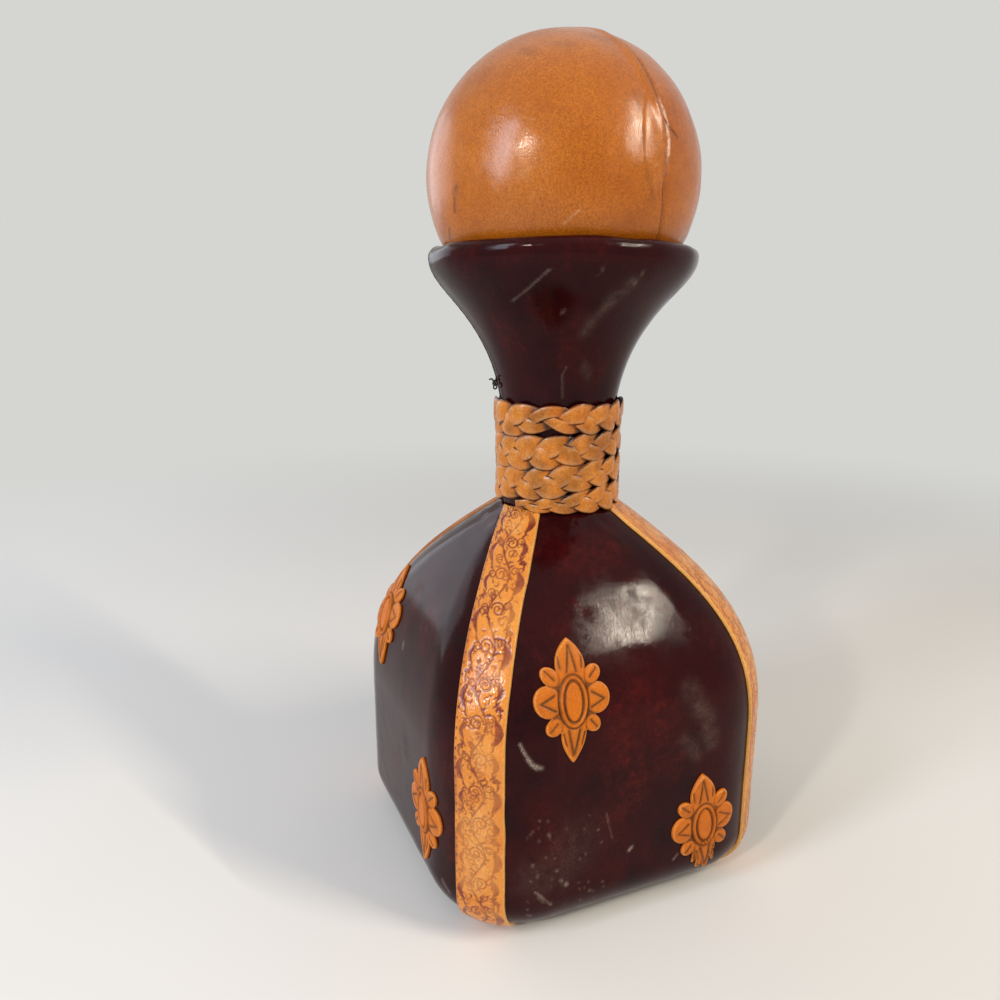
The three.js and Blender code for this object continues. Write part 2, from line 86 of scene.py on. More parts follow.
def srgb(red: int, green: int, blue: int) -> Colour:
    """A display colour as the linear colour that shaders take.

    Args:
        red: Red from 0 to 255.
        green: Green from 0 to 255.
        blue: Blue from 0 to 255.

    Returns:
        The linear colour with full alpha.
    """
    shares = np.array([red, green, blue]) / 255.0
    linear = np.where(shares <= 0.04045, shares / 12.92, ((shares + 0.055) / 1.055) ** 2.4)
    return (*linear.tolist(), 1.0)


def smooth_step(low: float, high: float, value: Array) -> Array:
    """Rises smoothly from 0 at low to 1 at high, or falls where high is the lesser."""
    share = np.clip((value - low) / (high - low), 0.0, 1.0)
    return share * share * (3.0 - 2.0 * share)


def bell(distance: Array, width: float) -> Array:
    """A soft bump that is 1 at no distance and has faded by about twice the width."""
    return np.exp(-((distance / width) ** 2))


def unit(vectors: Array) -> Array:
    """The same directions, each with a length of 1."""
    return vectors / np.linalg.norm(vectors, axis=-1, keepdims=True)


def lengths_along(line: Array) -> Array:
    """How far along a line each of its points is."""
    return np.r_[0.0, np.cumsum(np.linalg.norm(np.diff(line, axis=0), axis=1))]


def round_axis(radius: Array | float, height: Array | float, angle: Array) -> Array:
    """Points at a radius, a height and a direction about the upright axis."""
    across, ahead = radius * np.cos(angle), radius * np.sin(angle)
    return np.stack([across, ahead, height + 0.0 * across], axis=-1)


def spread_round(count: int) -> Array:
    """Directions spread evenly over one turn."""
    return np.arange(count) * TURN / count


def pointing(angle: Array | float) -> Array:
    """Flat vectors of length 1 in some directions."""
    return np.stack([np.cos(angle), np.sin(angle)], axis=-1)


def last_reach(inside: Array, reach: Array) -> Array:
    """The farthest reach that is still inside, for each row."""
    return reach[len(reach) - 1 - np.argmax(inside[:, ::-1], axis=1)]


def bezier(controls: Sequence[Sequence[float]], count: int) -> Array:
    """Points along a cubic curve.

    Args:
        controls: Its four control points.
        count: How many points to give.

    Returns:
        The points, one to a row.
    """
    first, second, third, last = (np.array(control) for control in controls)
    share = np.linspace(0.0, 1.0, count)[:, None]
    rest = 1.0 - share
    return rest**3 * first + 3 * rest**2 * share * second + 3 * rest * share**2 * third + share**3 * last


def even_points(line: Array, count: int) -> Array:
    """The same line with its points spread evenly along it.

    Args:
        line: Points of the line, one to a row.
        count: How many points to give.

    Returns:
        The evenly spread points.
    """
    along = lengths_along(line)
    places = np.linspace(0.0, along[-1], count)
    return np.column_stack([np.interp(places, along, column) for column in line.T])


def distance_to_line(points: Array, line: Array) -> Array:
    """How far each flat point is from a line of straight pieces.

    Args:
        points: Points with two columns in the last axis.
        line: The line's corners, one to a row.

    Returns:
        The distances, in the shape of the points without their last axis.
    """
    least = np.full(points.shape[:-1], np.inf)
    for start, end in zip(line[:-1], line[1:]):
        run = end - start
        share = np.clip(((points - start) @ run) / max(run @ run, 1e-12), 0.0, 1.0)
        least = np.minimum(least, np.linalg.norm(points - start - share[..., None] * run, axis=-1))
    return least


class SoftNoise:
    """Smooth noise that is the same on every run, read from a seeded lattice."""

    def __init__(self, seed: int) -> None:
        """Draws the lattice that the seed fixes."""
        self.lattice = np.random.default_rng(seed).uniform(-1.0, 1.0, (LATTICE,) * 3)

    def at(self, points: Array, size: float) -> Array:
        """Noise from -1 to 1 at some points.

        Args:
            points: Points with three columns in the last axis.
            size: Distance over which the noise changes.

        Returns:
            One value for each point.
        """
        cell = points / size
        low = np.floor(cell).astype(int)
        share = cell - low
        share = share * share * (3.0 - 2.0 * share)
        total = np.zeros(points.shape[:-1])
        for corner in np.ndindex(2, 2, 2):
            weight = np.prod(np.where(np.array(corner) == 1, share, 1.0 - share), axis=-1)
            spot = (low + np.array(corner)) % LATTICE
            total += weight * self.lattice[spot[..., 0], spot[..., 1], spot[..., 2]]
        return total

    def layered(self, points: Array, size: float, layers: int = 3) -> Array:
        """Noise with finer noise on top, each layer half as large and half as strong."""
        return sum(self.at(points, size / 2**layer) / 2**layer for layer in range(layers))


HIDE_NOISE = SoftNoise(11)
WEAR_NOISE = SoftNoise(23)


class Wiring:
    """Adds and links nodes in one shader tree."""

    def __init__(self, tree: bpy.types.NodeTree) -> None:
        """Keeps the tree that the nodes go into."""
        self.tree = tree

    def node(self, kind: str, **settings: object) -> bpy.types.Node:
        """Adds a node.

        Args:
            kind: The node's type.
            settings: Its properties.

        Returns:
            The new node.
        """
        node = self.tree.nodes.new(kind)
        for name, value in settings.items():
            setattr(node, name, value)
        return node

    def feed(self, socket: Output, value: object) -> None:
        """Links an output into an input, or sets the input to a plain value.

        Args:
            socket: The input.
            value: The output or the plain value.
        """
        if isinstance(value, Output):
            self.tree.links.new(value, socket)
        else:
            socket.default_value = value

    def feed_all(self, node: bpy.types.Node, inputs: dict) -> None:
        """Feeds a node's inputs, each found by its name or number."""
        for key, value in inputs.items():
            self.feed(node.inputs[key], value)

    def made(self, kind: str, output: str | int, inputs: dict, **settings: object) -> Output:
        """Adds a node and feeds its inputs.

        Args:
            kind: The node's type.
            output: Which of its outputs is wanted.
            inputs: What goes into each input.
            settings: Its properties.

        Returns:
            The wanted output.
        """
        node = self.node(kind, **settings)
        self.feed_all(node, inputs)
        return node.outputs[output]

    def place(self) -> Output:
        """The point on the piece, in its own frame."""
        return self.made("ShaderNodeTexCoord", "Object", {})

    def noise(
        self, where: Output, scale: float, detail: float = 4.0, rough: float = 0.55, twist: float = 0.0,
    ) -> Output:
        """Soft noise from 0 to 1: its waves to a metre, its finer layers, their strength and its twist."""
        inputs = {"Scale": scale, "Detail": detail, "Roughness": rough, "Distortion": twist}
        return self.made("ShaderNodeTexNoise", 0, {"Vector": where, **inputs})

    def stretched(self, where: Output, rise: float) -> Output:
        """The same point with its height scaled, which draws a pattern out upright where rise is small."""
        return self.made("ShaderNodeVectorMath", 0, {0: where, 1: (1.0, 1.0, rise)}, operation="MULTIPLY")

    def math(self, operation: str, first: object, second: object = 0.0) -> Output:
        """The result of one sum of two values."""
        return self.made("ShaderNodeMath", 0, {0: first, 1: second}, operation=operation)

    def times(self, first: object, second: object) -> Output:
        """The product of two values."""
        return self.math("MULTIPLY", first, second)

    def span(
        self, value: Output, low: float, high: float, to_low: float = 0.0, to_high: float = 1.0,
    ) -> Output:
        """Brings a value smoothly from one range to another."""
        inputs = {"Value": value, "From Min": low, "From Max": high, "To Min": to_low, "To Max": to_high}
        return self.made("ShaderNodeMapRange", "Result", inputs, interpolation_type="SMOOTHSTEP")

    def mix(self, share: object, first: object, second: object, blend: str = "MIX") -> Output:
        """A share of the second colour over the first."""
        inputs = {0: share, 6: first, 7: second}
        return self.made("ShaderNodeMix", 2, inputs, data_type="RGBA", blend_type=blend)

    def value_on(self, name: str) -> Output:
        """A value that the mesh carries on its points."""
        return self.made("ShaderNodeAttribute", "Fac", {}, attribute_name=name)

    def bump(self, shader: bpy.types.Node, height: Output, strength: float, depth: float) -> None:
        """Raises and sinks a shader's surface, where a height of 1 rises by the depth."""
        inputs = {"Strength": strength, "Distance": depth, "Height": height}
        self.feed(shader.inputs["Normal"], self.made("ShaderNodeBump", "Normal", inputs))


def new_material(name: str) -> tuple[bpy.types.Material, Wiring, bpy.types.Node]:
    """Starts a material.

    Args:
        name: Its name.

    Returns:
        The material, its wiring and its shader.
    """
    material = bpy.data.materials.new(name)
    material.use_nodes = True
    return material, Wiring(material.node_tree), material.node_tree.nodes["Principled BSDF"]


@dataclass(frozen=True)
class Socket:
    """An input or output of an effect that several materials share."""

    name: str
    colour: bool = False

    @property
    def kind(self) -> str:
        """The socket's type."""
        return "NodeSocketColor" if self.colour else "NodeSocketFloat"


def new_group(
    name: str, inputs: Sequence[Socket], outputs: Sequence[Socket],
) -> tuple[Wiring, dict[str, Output], Callable[[str, object], None]]:
    """Starts a node group.

    Args:
        name: The group's name.
        inputs: Its inputs.
        outputs: Its outputs.

    Returns:
        Its wiring, its inputs by name, and a function that sets an output.
    """
    tree = bpy.data.node_groups.new(name, "ShaderNodeTree")
    for sockets, way in ((inputs, "INPUT"), (outputs, "OUTPUT")):
        for socket in sockets:
            tree.interface.new_socket(name=socket.name, in_out=way, socket_type=socket.kind)
    wiring = Wiring(tree)
    given = wiring.node("NodeGroupInput").outputs
    result = wiring.node("NodeGroupOutput").inputs
    by_name = {socket.name: given[socket.name] for socket in inputs}
    return wiring, by_name, lambda key, value: wiring.feed(result[key], value)


class SharedEffects:
    """Effects that more than one material uses, each built once as a node group, with waves to a metre."""

    SWAY_WAVES = 180.0
    SWAY_REACH = (0.004, 0.004, 0.004)
    CREASE_WIDTH = 0.22
    PORE_WAVES = 2600.0
    LUMP_WAVES = 420.0
    LUMP_HEIGHT = 0.6
    BROAD_WAVES = 26.0
    MEDIUM_WAVES = 95.0
    MOTTLE_WAVES = 1500.0
    SMEAR_WAVES = 64.0
    SMEAR_RISE = 0.4
    BREAK_WAVES = 380.0
    FLECK_WAVES = 2900.0
    MOTTLE_SHADE = (0.42, 0.36, 0.34, 1.0)
    DULL_SHARES = {"medium": 0.45, "fine": 0.2, "scuff": 0.6, "stain": 0.3}

    def __init__(self) -> None:
        """Builds the groups."""
        self.grain = self.build_grain()
        self.hide = self.build_hide()

    def build_grain(self) -> bpy.types.NodeTree:
        """Leather grain: small pebbles with creases between them, and pores.

        Returns:
            The node group.
        """
        wiring, given, put = new_group(
            "leather_grain", [Socket("Pebbles"), Socket("Crease"), Socket("Pore")], [Socket("Height")],
        )
        where = wiring.place()
        sway = {0: wiring.noise(where, self.SWAY_WAVES, 2.0), 1: self.SWAY_REACH, 2: where}
        shifted = wiring.made("ShaderNodeVectorMath", 0, sway, operation="MULTIPLY_ADD")
        cells = {"Vector": shifted, "Scale": given["Pebbles"]}
        edge = wiring.made("ShaderNodeTexVoronoi", "Distance", cells, feature="DISTANCE_TO_EDGE")
        creases = wiring.times(wiring.span(edge, 0.0, self.CREASE_WIDTH), given["Crease"])
        fine = wiring.times(wiring.noise(where, self.PORE_WAVES, 3.0, 0.6), given["Pore"])
        broad = wiring.times(wiring.noise(where, self.LUMP_WAVES, 4.0, 0.6), self.LUMP_HEIGHT)
        put("Height", wiring.math("ADD", wiring.math("ADD", creases, fine), broad))
        return wiring.tree

    def build_hide(self) -> bpy.types.NodeTree:
        """Colour of dyed leather: blotches, darker dye, tooling stain, rubbed patches and scuffs, and the
        painted shade and highlights that some pieces carry in their stain, rub and scuff values.

        Returns:
            The node group.
        """
        colours = [Socket(name, True) for name in ("Dye", "Deep", "Rubbed", "Stain", "Scuff")]
        amounts = [Socket(name) for name in ("Blotch", "Rub", "Mottle")]
        results = [Socket("Colour", True), Socket("Dull")]
        wiring, given, put = new_group("dyed_hide", colours + amounts, results)
        where = wiring.place()
        upright = wiring.stretched(where, self.SMEAR_RISE)
        broad = wiring.span(wiring.noise(where, self.BROAD_WAVES, 5.0, 0.6, 0.6), 0.36, 0.66)
        medium = wiring.span(wiring.noise(where, self.MEDIUM_WAVES, 5.0, 0.65), 0.38, 0.7)
        fine = wiring.span(wiring.noise(where, self.MOTTLE_WAVES, 3.0, 0.6), 0.3, 0.7)
        smears = wiring.span(wiring.noise(upright, self.SMEAR_WAVES, 8.0, 0.7, 0.5), 0.5, 0.74)
        broken = wiring.span(wiring.noise(where, self.BREAK_WAVES, 5.0, 0.7), 0.34, 0.66, 0.25, 1.0)
        flecks = wiring.span(wiring.noise(where, self.FLECK_WAVES, 4.0, 0.75), 0.4, 0.62, 0.15, 1.0)
        uneven = wiring.span(medium, 0.0, 1.0, 0.55, 1.0)
        blotch = wiring.times(wiring.times(broad, given["Blotch"]), uneven)
        colour = wiring.mix(blotch, given["Dye"], given["Deep"])
        smeared = wiring.times(smears, given["Rub"])
        # The rub value is real rubbed wear, and on the ball's lens also a painted highlight.
        rubbed = wiring.math("MAXIMUM", smeared, wiring.value_on("rub"))
        colour = wiring.mix(wiring.times(rubbed, broken), colour, given["Rubbed"])
        shade = wiring.times(fine, given["Mottle"])
        colour = wiring.mix(shade, colour, wiring.mix(1.0, colour, self.MOTTLE_SHADE, "MULTIPLY"))
        kept = wiring.span(medium, 0.0, 1.0, 1.0, 0.75)
        # The stain value is real stain and dirt, and also painted shade: the plait's dips and lace sides,
        # the ball's flap shadow and the back strip's shoulder edge.
        stain = wiring.times(wiring.value_on("stain"), kept)
        colour = wiring.mix(stain, colour, given["Stain"])
        # The scuff value is real scuffs and cut edges, and in one dusty patch on the front also a painted
        # reflection.
        scuff = wiring.times(wiring.value_on("scuff"), flecks)
        put("Colour", wiring.mix(scuff, colour, given["Scuff"]))
        parts = {"medium": medium, "fine": fine, "scuff": scuff, "stain": stain}
        dull = 0.0
        for name, share in self.DULL_SHARES.items():
            dull = wiring.math("ADD", dull, wiring.times(parts[name], share))
        put("Dull", dull)
        return wiring.tree


@dataclass(frozen=True)
class LeatherFinish:
    """One dyed leather: its colours, gloss and grain."""

    name: str
    slot: str
    dye: Colour
    deep: Colour
    rubbed: Colour
    stain: Colour
    scuff: Colour
    blotch: float = 0.7
    rub: float = 0.5
    mottle: float = 0.4
    polished: float = 0.3
    dull: float = 0.55
    pebbles: float = 900.0
    crease: float = 0.8
    pore: float = 0.5
    grain_depth: float = 0.06 * MM
    grain_strength: float = 0.5
    gloss: float = 0.3

    def material(self, effects: SharedEffects) -> bpy.types.Material:
        """Builds the finish.

        Args:
            effects: The shared node groups.

        Returns:
            The material.
        """
        material, wiring, shader = new_material(self.name)
        hide = wiring.node("ShaderNodeGroup", node_tree=effects.hide)
        wiring.feed_all(hide, {key: getattr(self, key.lower()) for key in hide.inputs.keys()})
        wiring.feed_all(shader, {
            "Base Color": hide.outputs["Colour"],
            "Roughness": wiring.span(hide.outputs["Dull"], 0.0, 1.0, self.polished, self.dull),
            "Specular IOR Level": self.gloss,
        })
        settings = {"Pebbles": self.pebbles, "Crease": self.crease, "Pore": self.pore}
        grain = wiring.made("ShaderNodeGroup", "Height", settings, node_tree=effects.grain)
        wiring.bump(shader, grain, self.grain_strength, self.grain_depth)
        return material


# Its scuff colour also paints part of a reflection, in a dusty patch on the front.
OXBLOOD = LeatherFinish(
    "oxblood_leather", "dark_leather",
    dye=srgb(50, 8, 10), deep=srgb(25, 4, 7), rubbed=srgb(86, 20, 16), stain=srgb(10, 5, 7),
    scuff=srgb(176, 158, 144), blotch=0.85, rub=0.65, mottle=0.55, polished=0.07, dull=0.4,
    pebbles=750.0, crease=0.6, pore=0.8, grain_depth=0.016 * MM, gloss=0.11,
)
# Its stain colour also paints shade on the back strip's right edge over the shoulder.
TOOLED_TAN = LeatherFinish(
    "tooled_tan_leather", "tan_leather",
    dye=srgb(226, 146, 54), deep=srgb(210, 116, 32), rubbed=srgb(236, 178, 104), stain=srgb(116, 42, 26),
    scuff=srgb(234, 190, 112), blotch=0.75, rub=0.55, mottle=0.4, polished=0.1, dull=0.34,
    grain_depth=0.04 * MM, gloss=0.42,
)
STAMPED_TAN = LeatherFinish(
    "stamped_tan_leather", "stamped_leather",
    dye=srgb(206, 106, 4), deep=srgb(178, 80, 2), rubbed=srgb(226, 146, 56), stain=srgb(58, 18, 4),
    scuff=srgb(236, 186, 112), blotch=0.7, rub=0.35, mottle=0.35, polished=0.3, dull=0.55, gloss=0.14,
)
# Its stain colour also paints the shade where laces dip under and along their sides.
LACE_TAN = LeatherFinish(
    "lace_tan_leather", "lace_leather",
    dye=srgb(200, 114, 16), deep=srgb(168, 82, 8), rubbed=srgb(220, 150, 64), stain=srgb(46, 22, 10),
    scuff=srgb(230, 190, 140), blotch=0.8, rub=0.4, mottle=0.55, polished=0.14, dull=0.38,
    grain_depth=0.05 * MM, gloss=0.34,
)
# Its stain colour also paints the flap's shadow beside the front seam, and its rubbed colour part of the
# lens highlight.
BALL_TAN = LeatherFinish(
    "ball_tan_leather", "ball_leather",
    dye=srgb(184, 103, 20), deep=srgb(160, 80, 6), rubbed=srgb(198, 123, 56), stain=srgb(84, 36, 12),
    scuff=srgb(226, 182, 136), blotch=0.75, rub=0.45, mottle=0.65, polished=0.19, dull=0.37,
    pebbles=1100.0, crease=0.5, pore=0.8, grain_depth=0.05 * MM, gloss=0.37,
)
SOLE_BROWN = LeatherFinish(
    "sole_leather_brown", "sole_leather",
    dye=srgb(84, 54, 38), deep=srgb(58, 36, 28), rubbed=srgb(120, 84, 60), stain=srgb(30, 20, 16),
    scuff=srgb(160, 130, 104), polished=0.6, dull=0.85,
)


@dataclass(frozen=True)
class GlassFinish:
    """Bottle glass with a little waviness."""

    name: str = "bottle_green_glass"
    slot: str = "bottle_glass"
    tint: Colour = srgb(150, 172, 140)
    streak: Colour = srgb(128, 152, 120)
    streak_waves: float = 60.0
    smooth: float = 0.04
    rough: float = 0.1
    bend: float = 1.5
    wave: float = 0.2 * MM
    wave_strength: float = 0.3
    waves: float = 90.0

    def material(self, effects: SharedEffects) -> bpy.types.Material:
        """Builds the finish; effects isn't needed here.

        Args:
            effects: The shared node groups.

        Returns:
            The material.
        """
        material, wiring, shader = new_material(self.name)
        where = wiring.place()
        streak = wiring.span(wiring.noise(where, self.streak_waves, 3.0), 0.3, 0.7)
        wiring.feed_all(shader, {
            "Base Color": wiring.mix(streak, self.tint, self.streak),
            "Roughness": wiring.span(streak, 0.0, 1.0, self.smooth, self.rough),
            "Transmission Weight": 1.0,
            "IOR": self.bend,
        })
        wiring.bump(shader, wiring.noise(where, self.waves, 2.0), self.wave_strength, self.wave)
        return material


@dataclass(frozen=True)
class GrainyFinish:
    """Cork, wood or thread: two colours in a fine pattern with a matt surface."""

    name: str
    slot: str
    light: Colour
    dark: Colour
    scale: float
    stretch: float = 1.0
    pits: float = 0.0
    pit_colour: Colour = srgb(58, 38, 26)
    pit_scale: float = 2.5
    rough: float = 0.8
    rough_spread: float = 0.15
    depth: float = 0.3 * MM
    depth_strength: float = 0.5

    def material(self, effects: SharedEffects) -> bpy.types.Material:
        """Builds the finish; effects isn't needed here.

        Args:
            effects: The shared node groups.

        Returns:
            The material.
        """
        material, wiring, shader = new_material(self.name)
        where = wiring.stretched(wiring.place(), self.stretch)
        grain = wiring.span(wiring.noise(where, self.scale, 5.0, 0.65), 0.32, 0.68)
        holes = wiring.span(wiring.noise(where, self.scale * self.pit_scale, 3.0, 0.6), 0.6, 0.68)
        pits = wiring.times(holes, self.pits)
        colour = wiring.mix(grain, self.dark, self.light)
        wiring.feed_all(shader, {
            "Base Color": wiring.mix(pits, colour, self.pit_colour),
            "Roughness": wiring.span(grain, 0.0, 1.0, self.rough, self.rough - self.rough_spread),
        })
        wiring.bump(shader, wiring.math("SUBTRACT", grain, pits), self.depth_strength, self.depth)
        return material


CORK = GrainyFinish(
    "natural_cork", "cork", light=srgb(196, 154, 108), dark=srgb(160, 116, 76), scale=420.0, pits=0.9,
    rough=0.9,
)
WOOD = GrainyFinish(
    "turned_wood", "wood", light=srgb(190, 146, 98), dark=srgb(150, 106, 66), scale=260.0, stretch=0.12,
    rough=0.75,
)
THREAD = GrainyFinish(
    "waxed_thread", "thread", light=srgb(44, 38, 38), dark=srgb(20, 17, 18), scale=2400.0, rough=0.75,
)
Finish = LeatherFinish | GlassFinish | GrainyFinish


class Workshop:
    """Turns drafts into pieces with their finishes, and says what each one is."""

    def __init__(self) -> None:
        """Builds the shared effects."""
        self.effects = SharedEffects()
        self.materials: dict[str, bpy.types.Material] = {}

    def finish(self, finish: Finish) -> bpy.types.Material:
        """The material of a finish, built the first time it is asked for.

        Args:
            finish: The finish.

        Returns:
            Its material.
        """
        if finish.name not in self.materials:
            self.materials[finish.name] = finish.material(self.effects)
        return self.materials[finish.name]

    def dress(self, node: str, finish: Finish) -> None:
        """Gives a solid that keeps its own shape a better material.

        Args:
            node: The solid's name.
            finish: What it is finished in.
        """
        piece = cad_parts[node]
        piece.data.materials.clear()
        piece.data.materials.append(self.finish(finish))
        LOG.info("%s keeps its shape, in %s", node, finish.name)

    def piece(self, draft: "Draft", name: str, finish: Finish, body: Body, *nodes: str) -> None:
        """Makes a piece that stands for some solids.

        Args:
            draft: Its mesh.
            name: Its name.
            finish: What it is finished in.
            body: What it rides on.
            nodes: The solids that it stands for.
        """
        mesh = bpy.data.meshes.new(name)
        mesh.from_pydata(draft.points.tolist(), [], draft.faces)
        for key, values in draft.values.items():
            whole = np.zeros(len(draft.points), np.float32)
            whole[: len(values)] = values
            mesh.attributes.new(key, "FLOAT", "POINT").data.foreach_set("value", whole)
        mesh.shade_smooth()
        mesh.validate()
        mesh.materials.append(self.finish(finish))
        piece = bpy.data.objects.new(name, mesh)
        bpy.context.scene.collection.objects.link(piece)
        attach(piece, body.value)
        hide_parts(*nodes)
        LOG.info("%s: %d points, rides on %s", name, len(draft.points), body.value)


@dataclass
class Draft:
    """A mesh being drawn: its points, its faces and the values that its first points carry."""

    points: Array
    faces: list
    values: dict[str, Array] = field(default_factory=dict)


def grid_faces(rows: int, columns: int, closed: bool = False) -> list:
    """Faces of a grid of points, facing out where columns run to the right and rows run up.

    Args:
        rows: How many rows of points there are.
        columns: How many points there are in a row.
        closed: Whether the last column joins the first.

    Returns:
        The faces, four points each.
    """
    across = columns if closed else columns - 1
    row, column = np.meshgrid(np.arange(rows - 1), np.arange(across), indexing="ij")
    right = (column + 1) % columns
    low, high = row * columns, (row + 1) * columns
    corners = [low + column, low + right, high + right, high + column]
    return np.stack(corners, axis=-1).reshape(-1, 4).tolist()


def closed_sheet(top: Array, under: Array, step: int, values: dict[str, Array]) -> Draft:
    """A sheet with a finely drawn top, a wall all round and a coarser underside.

    Args:
        top: Grid of points of the top, rows by columns by three.
        under: Grid of points of the underside, in the same shape.
        step: How many of the top's cells one cell of the underside spans.
        values: Values on the top's grid.

    Returns:
        The closed mesh.
    """
    rows, columns = top.shape[:2]
    ring = [(0, j) for j in range(columns - 1)] + [(i, columns - 1) for i in range(rows - 1)]
    ring += [(rows - 1, j) for j in range(columns - 1, 0, -1)] + [(i, 0) for i in range(rows - 1, 0, -1)]
    coarse_rows = sorted({*range(0, rows - 1, step), rows - 1})
    coarse_columns = sorted({*range(0, columns - 1, step), columns - 1})
    inner = [(i, j) for i in coarse_rows[1:-1] for j in coarse_columns[1:-1]]
    base = rows * columns
    below = {spot: base + order for order, spot in enumerate(ring + inner)}
    faces = grid_faces(rows, columns)
    for spot, following in zip(ring, ring[1:] + ring[:1]):
        start, end = spot[0] * columns + spot[1], following[0] * columns + following[1]
        faces.append([end, start, below[spot], below[following]])
    for low, high in zip(coarse_rows[:-1], coarse_rows[1:]):
        for left, right in zip(coarse_columns[:-1], coarse_columns[1:]):
            foot = range(left, right) if low == 0 else [left]
            head = range(right, left, -1) if high == rows - 1 else [right]
            rise = range(low, high) if right == columns - 1 else [low]
            fall = range(high, low, -1) if left == 0 else [high]
            loop = [(low, j) for j in foot] + [(i, right) for i in rise]
            loop += [(high, j) for j in head] + [(i, left) for i in fall]
            faces.append([below[spot] for spot in reversed(loop)])
    points = np.vstack([top.reshape(-1, 3), np.array([under[spot] for spot in ring + inner])])
    return Draft(points, faces, {key: value.reshape(-1) for key, value in values.items()})


def capped(rings: Array, ends: Array) -> Draft:
    """A closed solid through rings of points, with one point that closes each end.

    Args:
        rings: Rings by points by three, running so that the solid faces out.
        ends: The points that close the first ring and the last.

    Returns:
        The closed mesh.
    """
    count, sides = rings.shape[:2]
    faces = grid_faces(count, sides, closed=True)
    first, last = count * sides, (count - 1) * sides
    for i in range(sides):
        following = (i + 1) % sides
        faces.append([first, following, i])
        faces.append([first + 1, last + i, last + following])
    return Draft(np.vstack([rings.reshape(-1, 3), ends]), faces)


def swept(sections: Array) -> Draft:
    """A closed tube through sections of equal count.

    Args:
        sections: Sections by points by three, running so that the tube faces out.

    Returns:
        The closed mesh.
    """
    count, sides = sections.shape[:2]
    faces = grid_faces(count, sides, closed=True)
    faces.append(list(range(sides))[::-1])
    faces.append([(count - 1) * sides + i for i in range(sides)])
    return Draft(sections.reshape(-1, 3), faces)


@dataclass
class BodyForm:
    """The bottle's square body under its leather, as a surface that pieces are laid on."""

    half_width: float = -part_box("panel_front")[0][1]
    foot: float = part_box("panel_front")[0][2]
    neck_height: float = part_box("panel_front")[1][2]
    corner: float = 35.0 * MM
    bend: float = 17.5 * MM
    shoulder_start: float = 66.0 * MM
    shoulder_rise: float = 40.0 * MM
    shoulder_pull: float = 32.0 * MM
    shoulder_slope: float = math.radians(38.5)
    corner_fade: float = 2.5
    neck_radius: float = 22.0 * MM
    bend_points: int = 60
    upright_points: int = 40
    shoulder_points: int = 400

    def __post_init__(self) -> None:
        """Works out the side's outline, with its corner radius at each height."""
        turn = np.linspace(-math.pi / 2, 0.0, self.bend_points)
        inset = self.half_width - self.bend
        bend = np.c_[inset + self.bend * np.cos(turn), self.foot + self.bend * (1 + np.sin(turn))]
        start = (self.half_width, self.shoulder_start)
        upright = np.linspace(bend[-1], start, self.upright_points)[1:]
        slope = np.array([math.cos(self.shoulder_slope), -math.sin(self.shoulder_slope)])
        neck = np.array([self.neck_radius, self.neck_height])
        rising = (self.half_width, self.shoulder_start + self.shoulder_rise)
        pulled = neck + self.shoulder_pull * slope
        shoulder = bezier((start, rising, pulled, neck), self.shoulder_points)[1:]
        outline = np.vstack([bend, upright, shoulder])
        self.along = lengths_along(outline)
        self.length = self.along[-1]
        self.upright_end = self.along[len(bend) + len(upright) - 1]
        share = self.corner / self.half_width
        over = self.over(self.along)
        turned_in = self.corner - (self.half_width - outline[:, 0])
        rounded = outline[:, 0] * (share + (1 - share) * over**self.corner_fade)
        self.table = np.c_[outline, np.where(over > 0, rounded, turned_in)]
        self.rates = np.gradient(self.table, self.along, axis=0)

    def over(self, along: Array) -> Array:
        """How far over the shoulder a place is, from 0 at its start to 1 at the neck."""
        return np.clip((along - self.upright_end) / (self.length - self.upright_end), 0.0, 1.0)

    def read(self, columns: Array, along: Array) -> list[Array]:
        """The outline's values at some distances along it."""
        return [np.interp(along, self.along, column) for column in columns.T]

    def side_half(self, along: Array) -> Array:
        """Half the distance round one side, from its middle to the middle of its corner."""
        half, _, corner = self.read(self.table, along)
        return half - corner + corner * math.pi / 4

    def place(self, side: Side, across: Array, along: Array, lift: Array | float) -> Array:
        """Points on the body.

        Args:
            side: Which side they are measured on.
            across: Distance round the level from the side's middle, to the right.
            along: Distance up the side's outline from the base.
            lift: Distance out from the leather's surface.

        Returns:
            The points, in a last axis of three.
        """
        half, height, corner = self.read(self.table, along)
        half_rate, height_rate, corner_rate = self.read(self.rates, along)
        flat = half - corner
        facing = (side.value - 1) * math.pi / 2
        direction = facing + np.sign(across) * np.clip((np.abs(across) - flat) / corner, 0.0, math.pi / 2)
        level = np.clip(across, -flat, flat)
        spread = np.abs(np.cos(direction)) + np.abs(np.sin(direction))
        reach_rate = (half_rate - corner_rate) * spread + corner_rate
        normal = unit(round_axis(height_rate, -reach_rate, direction))
        point = np.stack([
            flat * math.cos(facing) - level * math.sin(facing) + corner * np.cos(direction),
            flat * math.sin(facing) + level * math.cos(facing) + corner * np.sin(direction),
            height + 0.0 * level,
        ], axis=-1)
        return point + np.asarray(lift)[..., None] * normal

    def corner_place(self, side: Side, beside: Array, along: Array, lift: Array | float) -> Array:
        """Points about the corner to the right of a side.

        Args:
            side: The side to the corner's left.
            beside: Distance round the level from the corner's middle, to the right.
            along: Distance up the side's outline from the base.
            lift: Distance out from the leather's surface.

        Returns:
            The points, in a last axis of three.
        """
        half = self.side_half(along)
        here = self.place(side, np.minimum(half + beside, half), along, lift)
        there = self.place(side.next, np.maximum(beside - half, -half), along, lift)
        return np.where((beside > 0)[..., None], there, here)


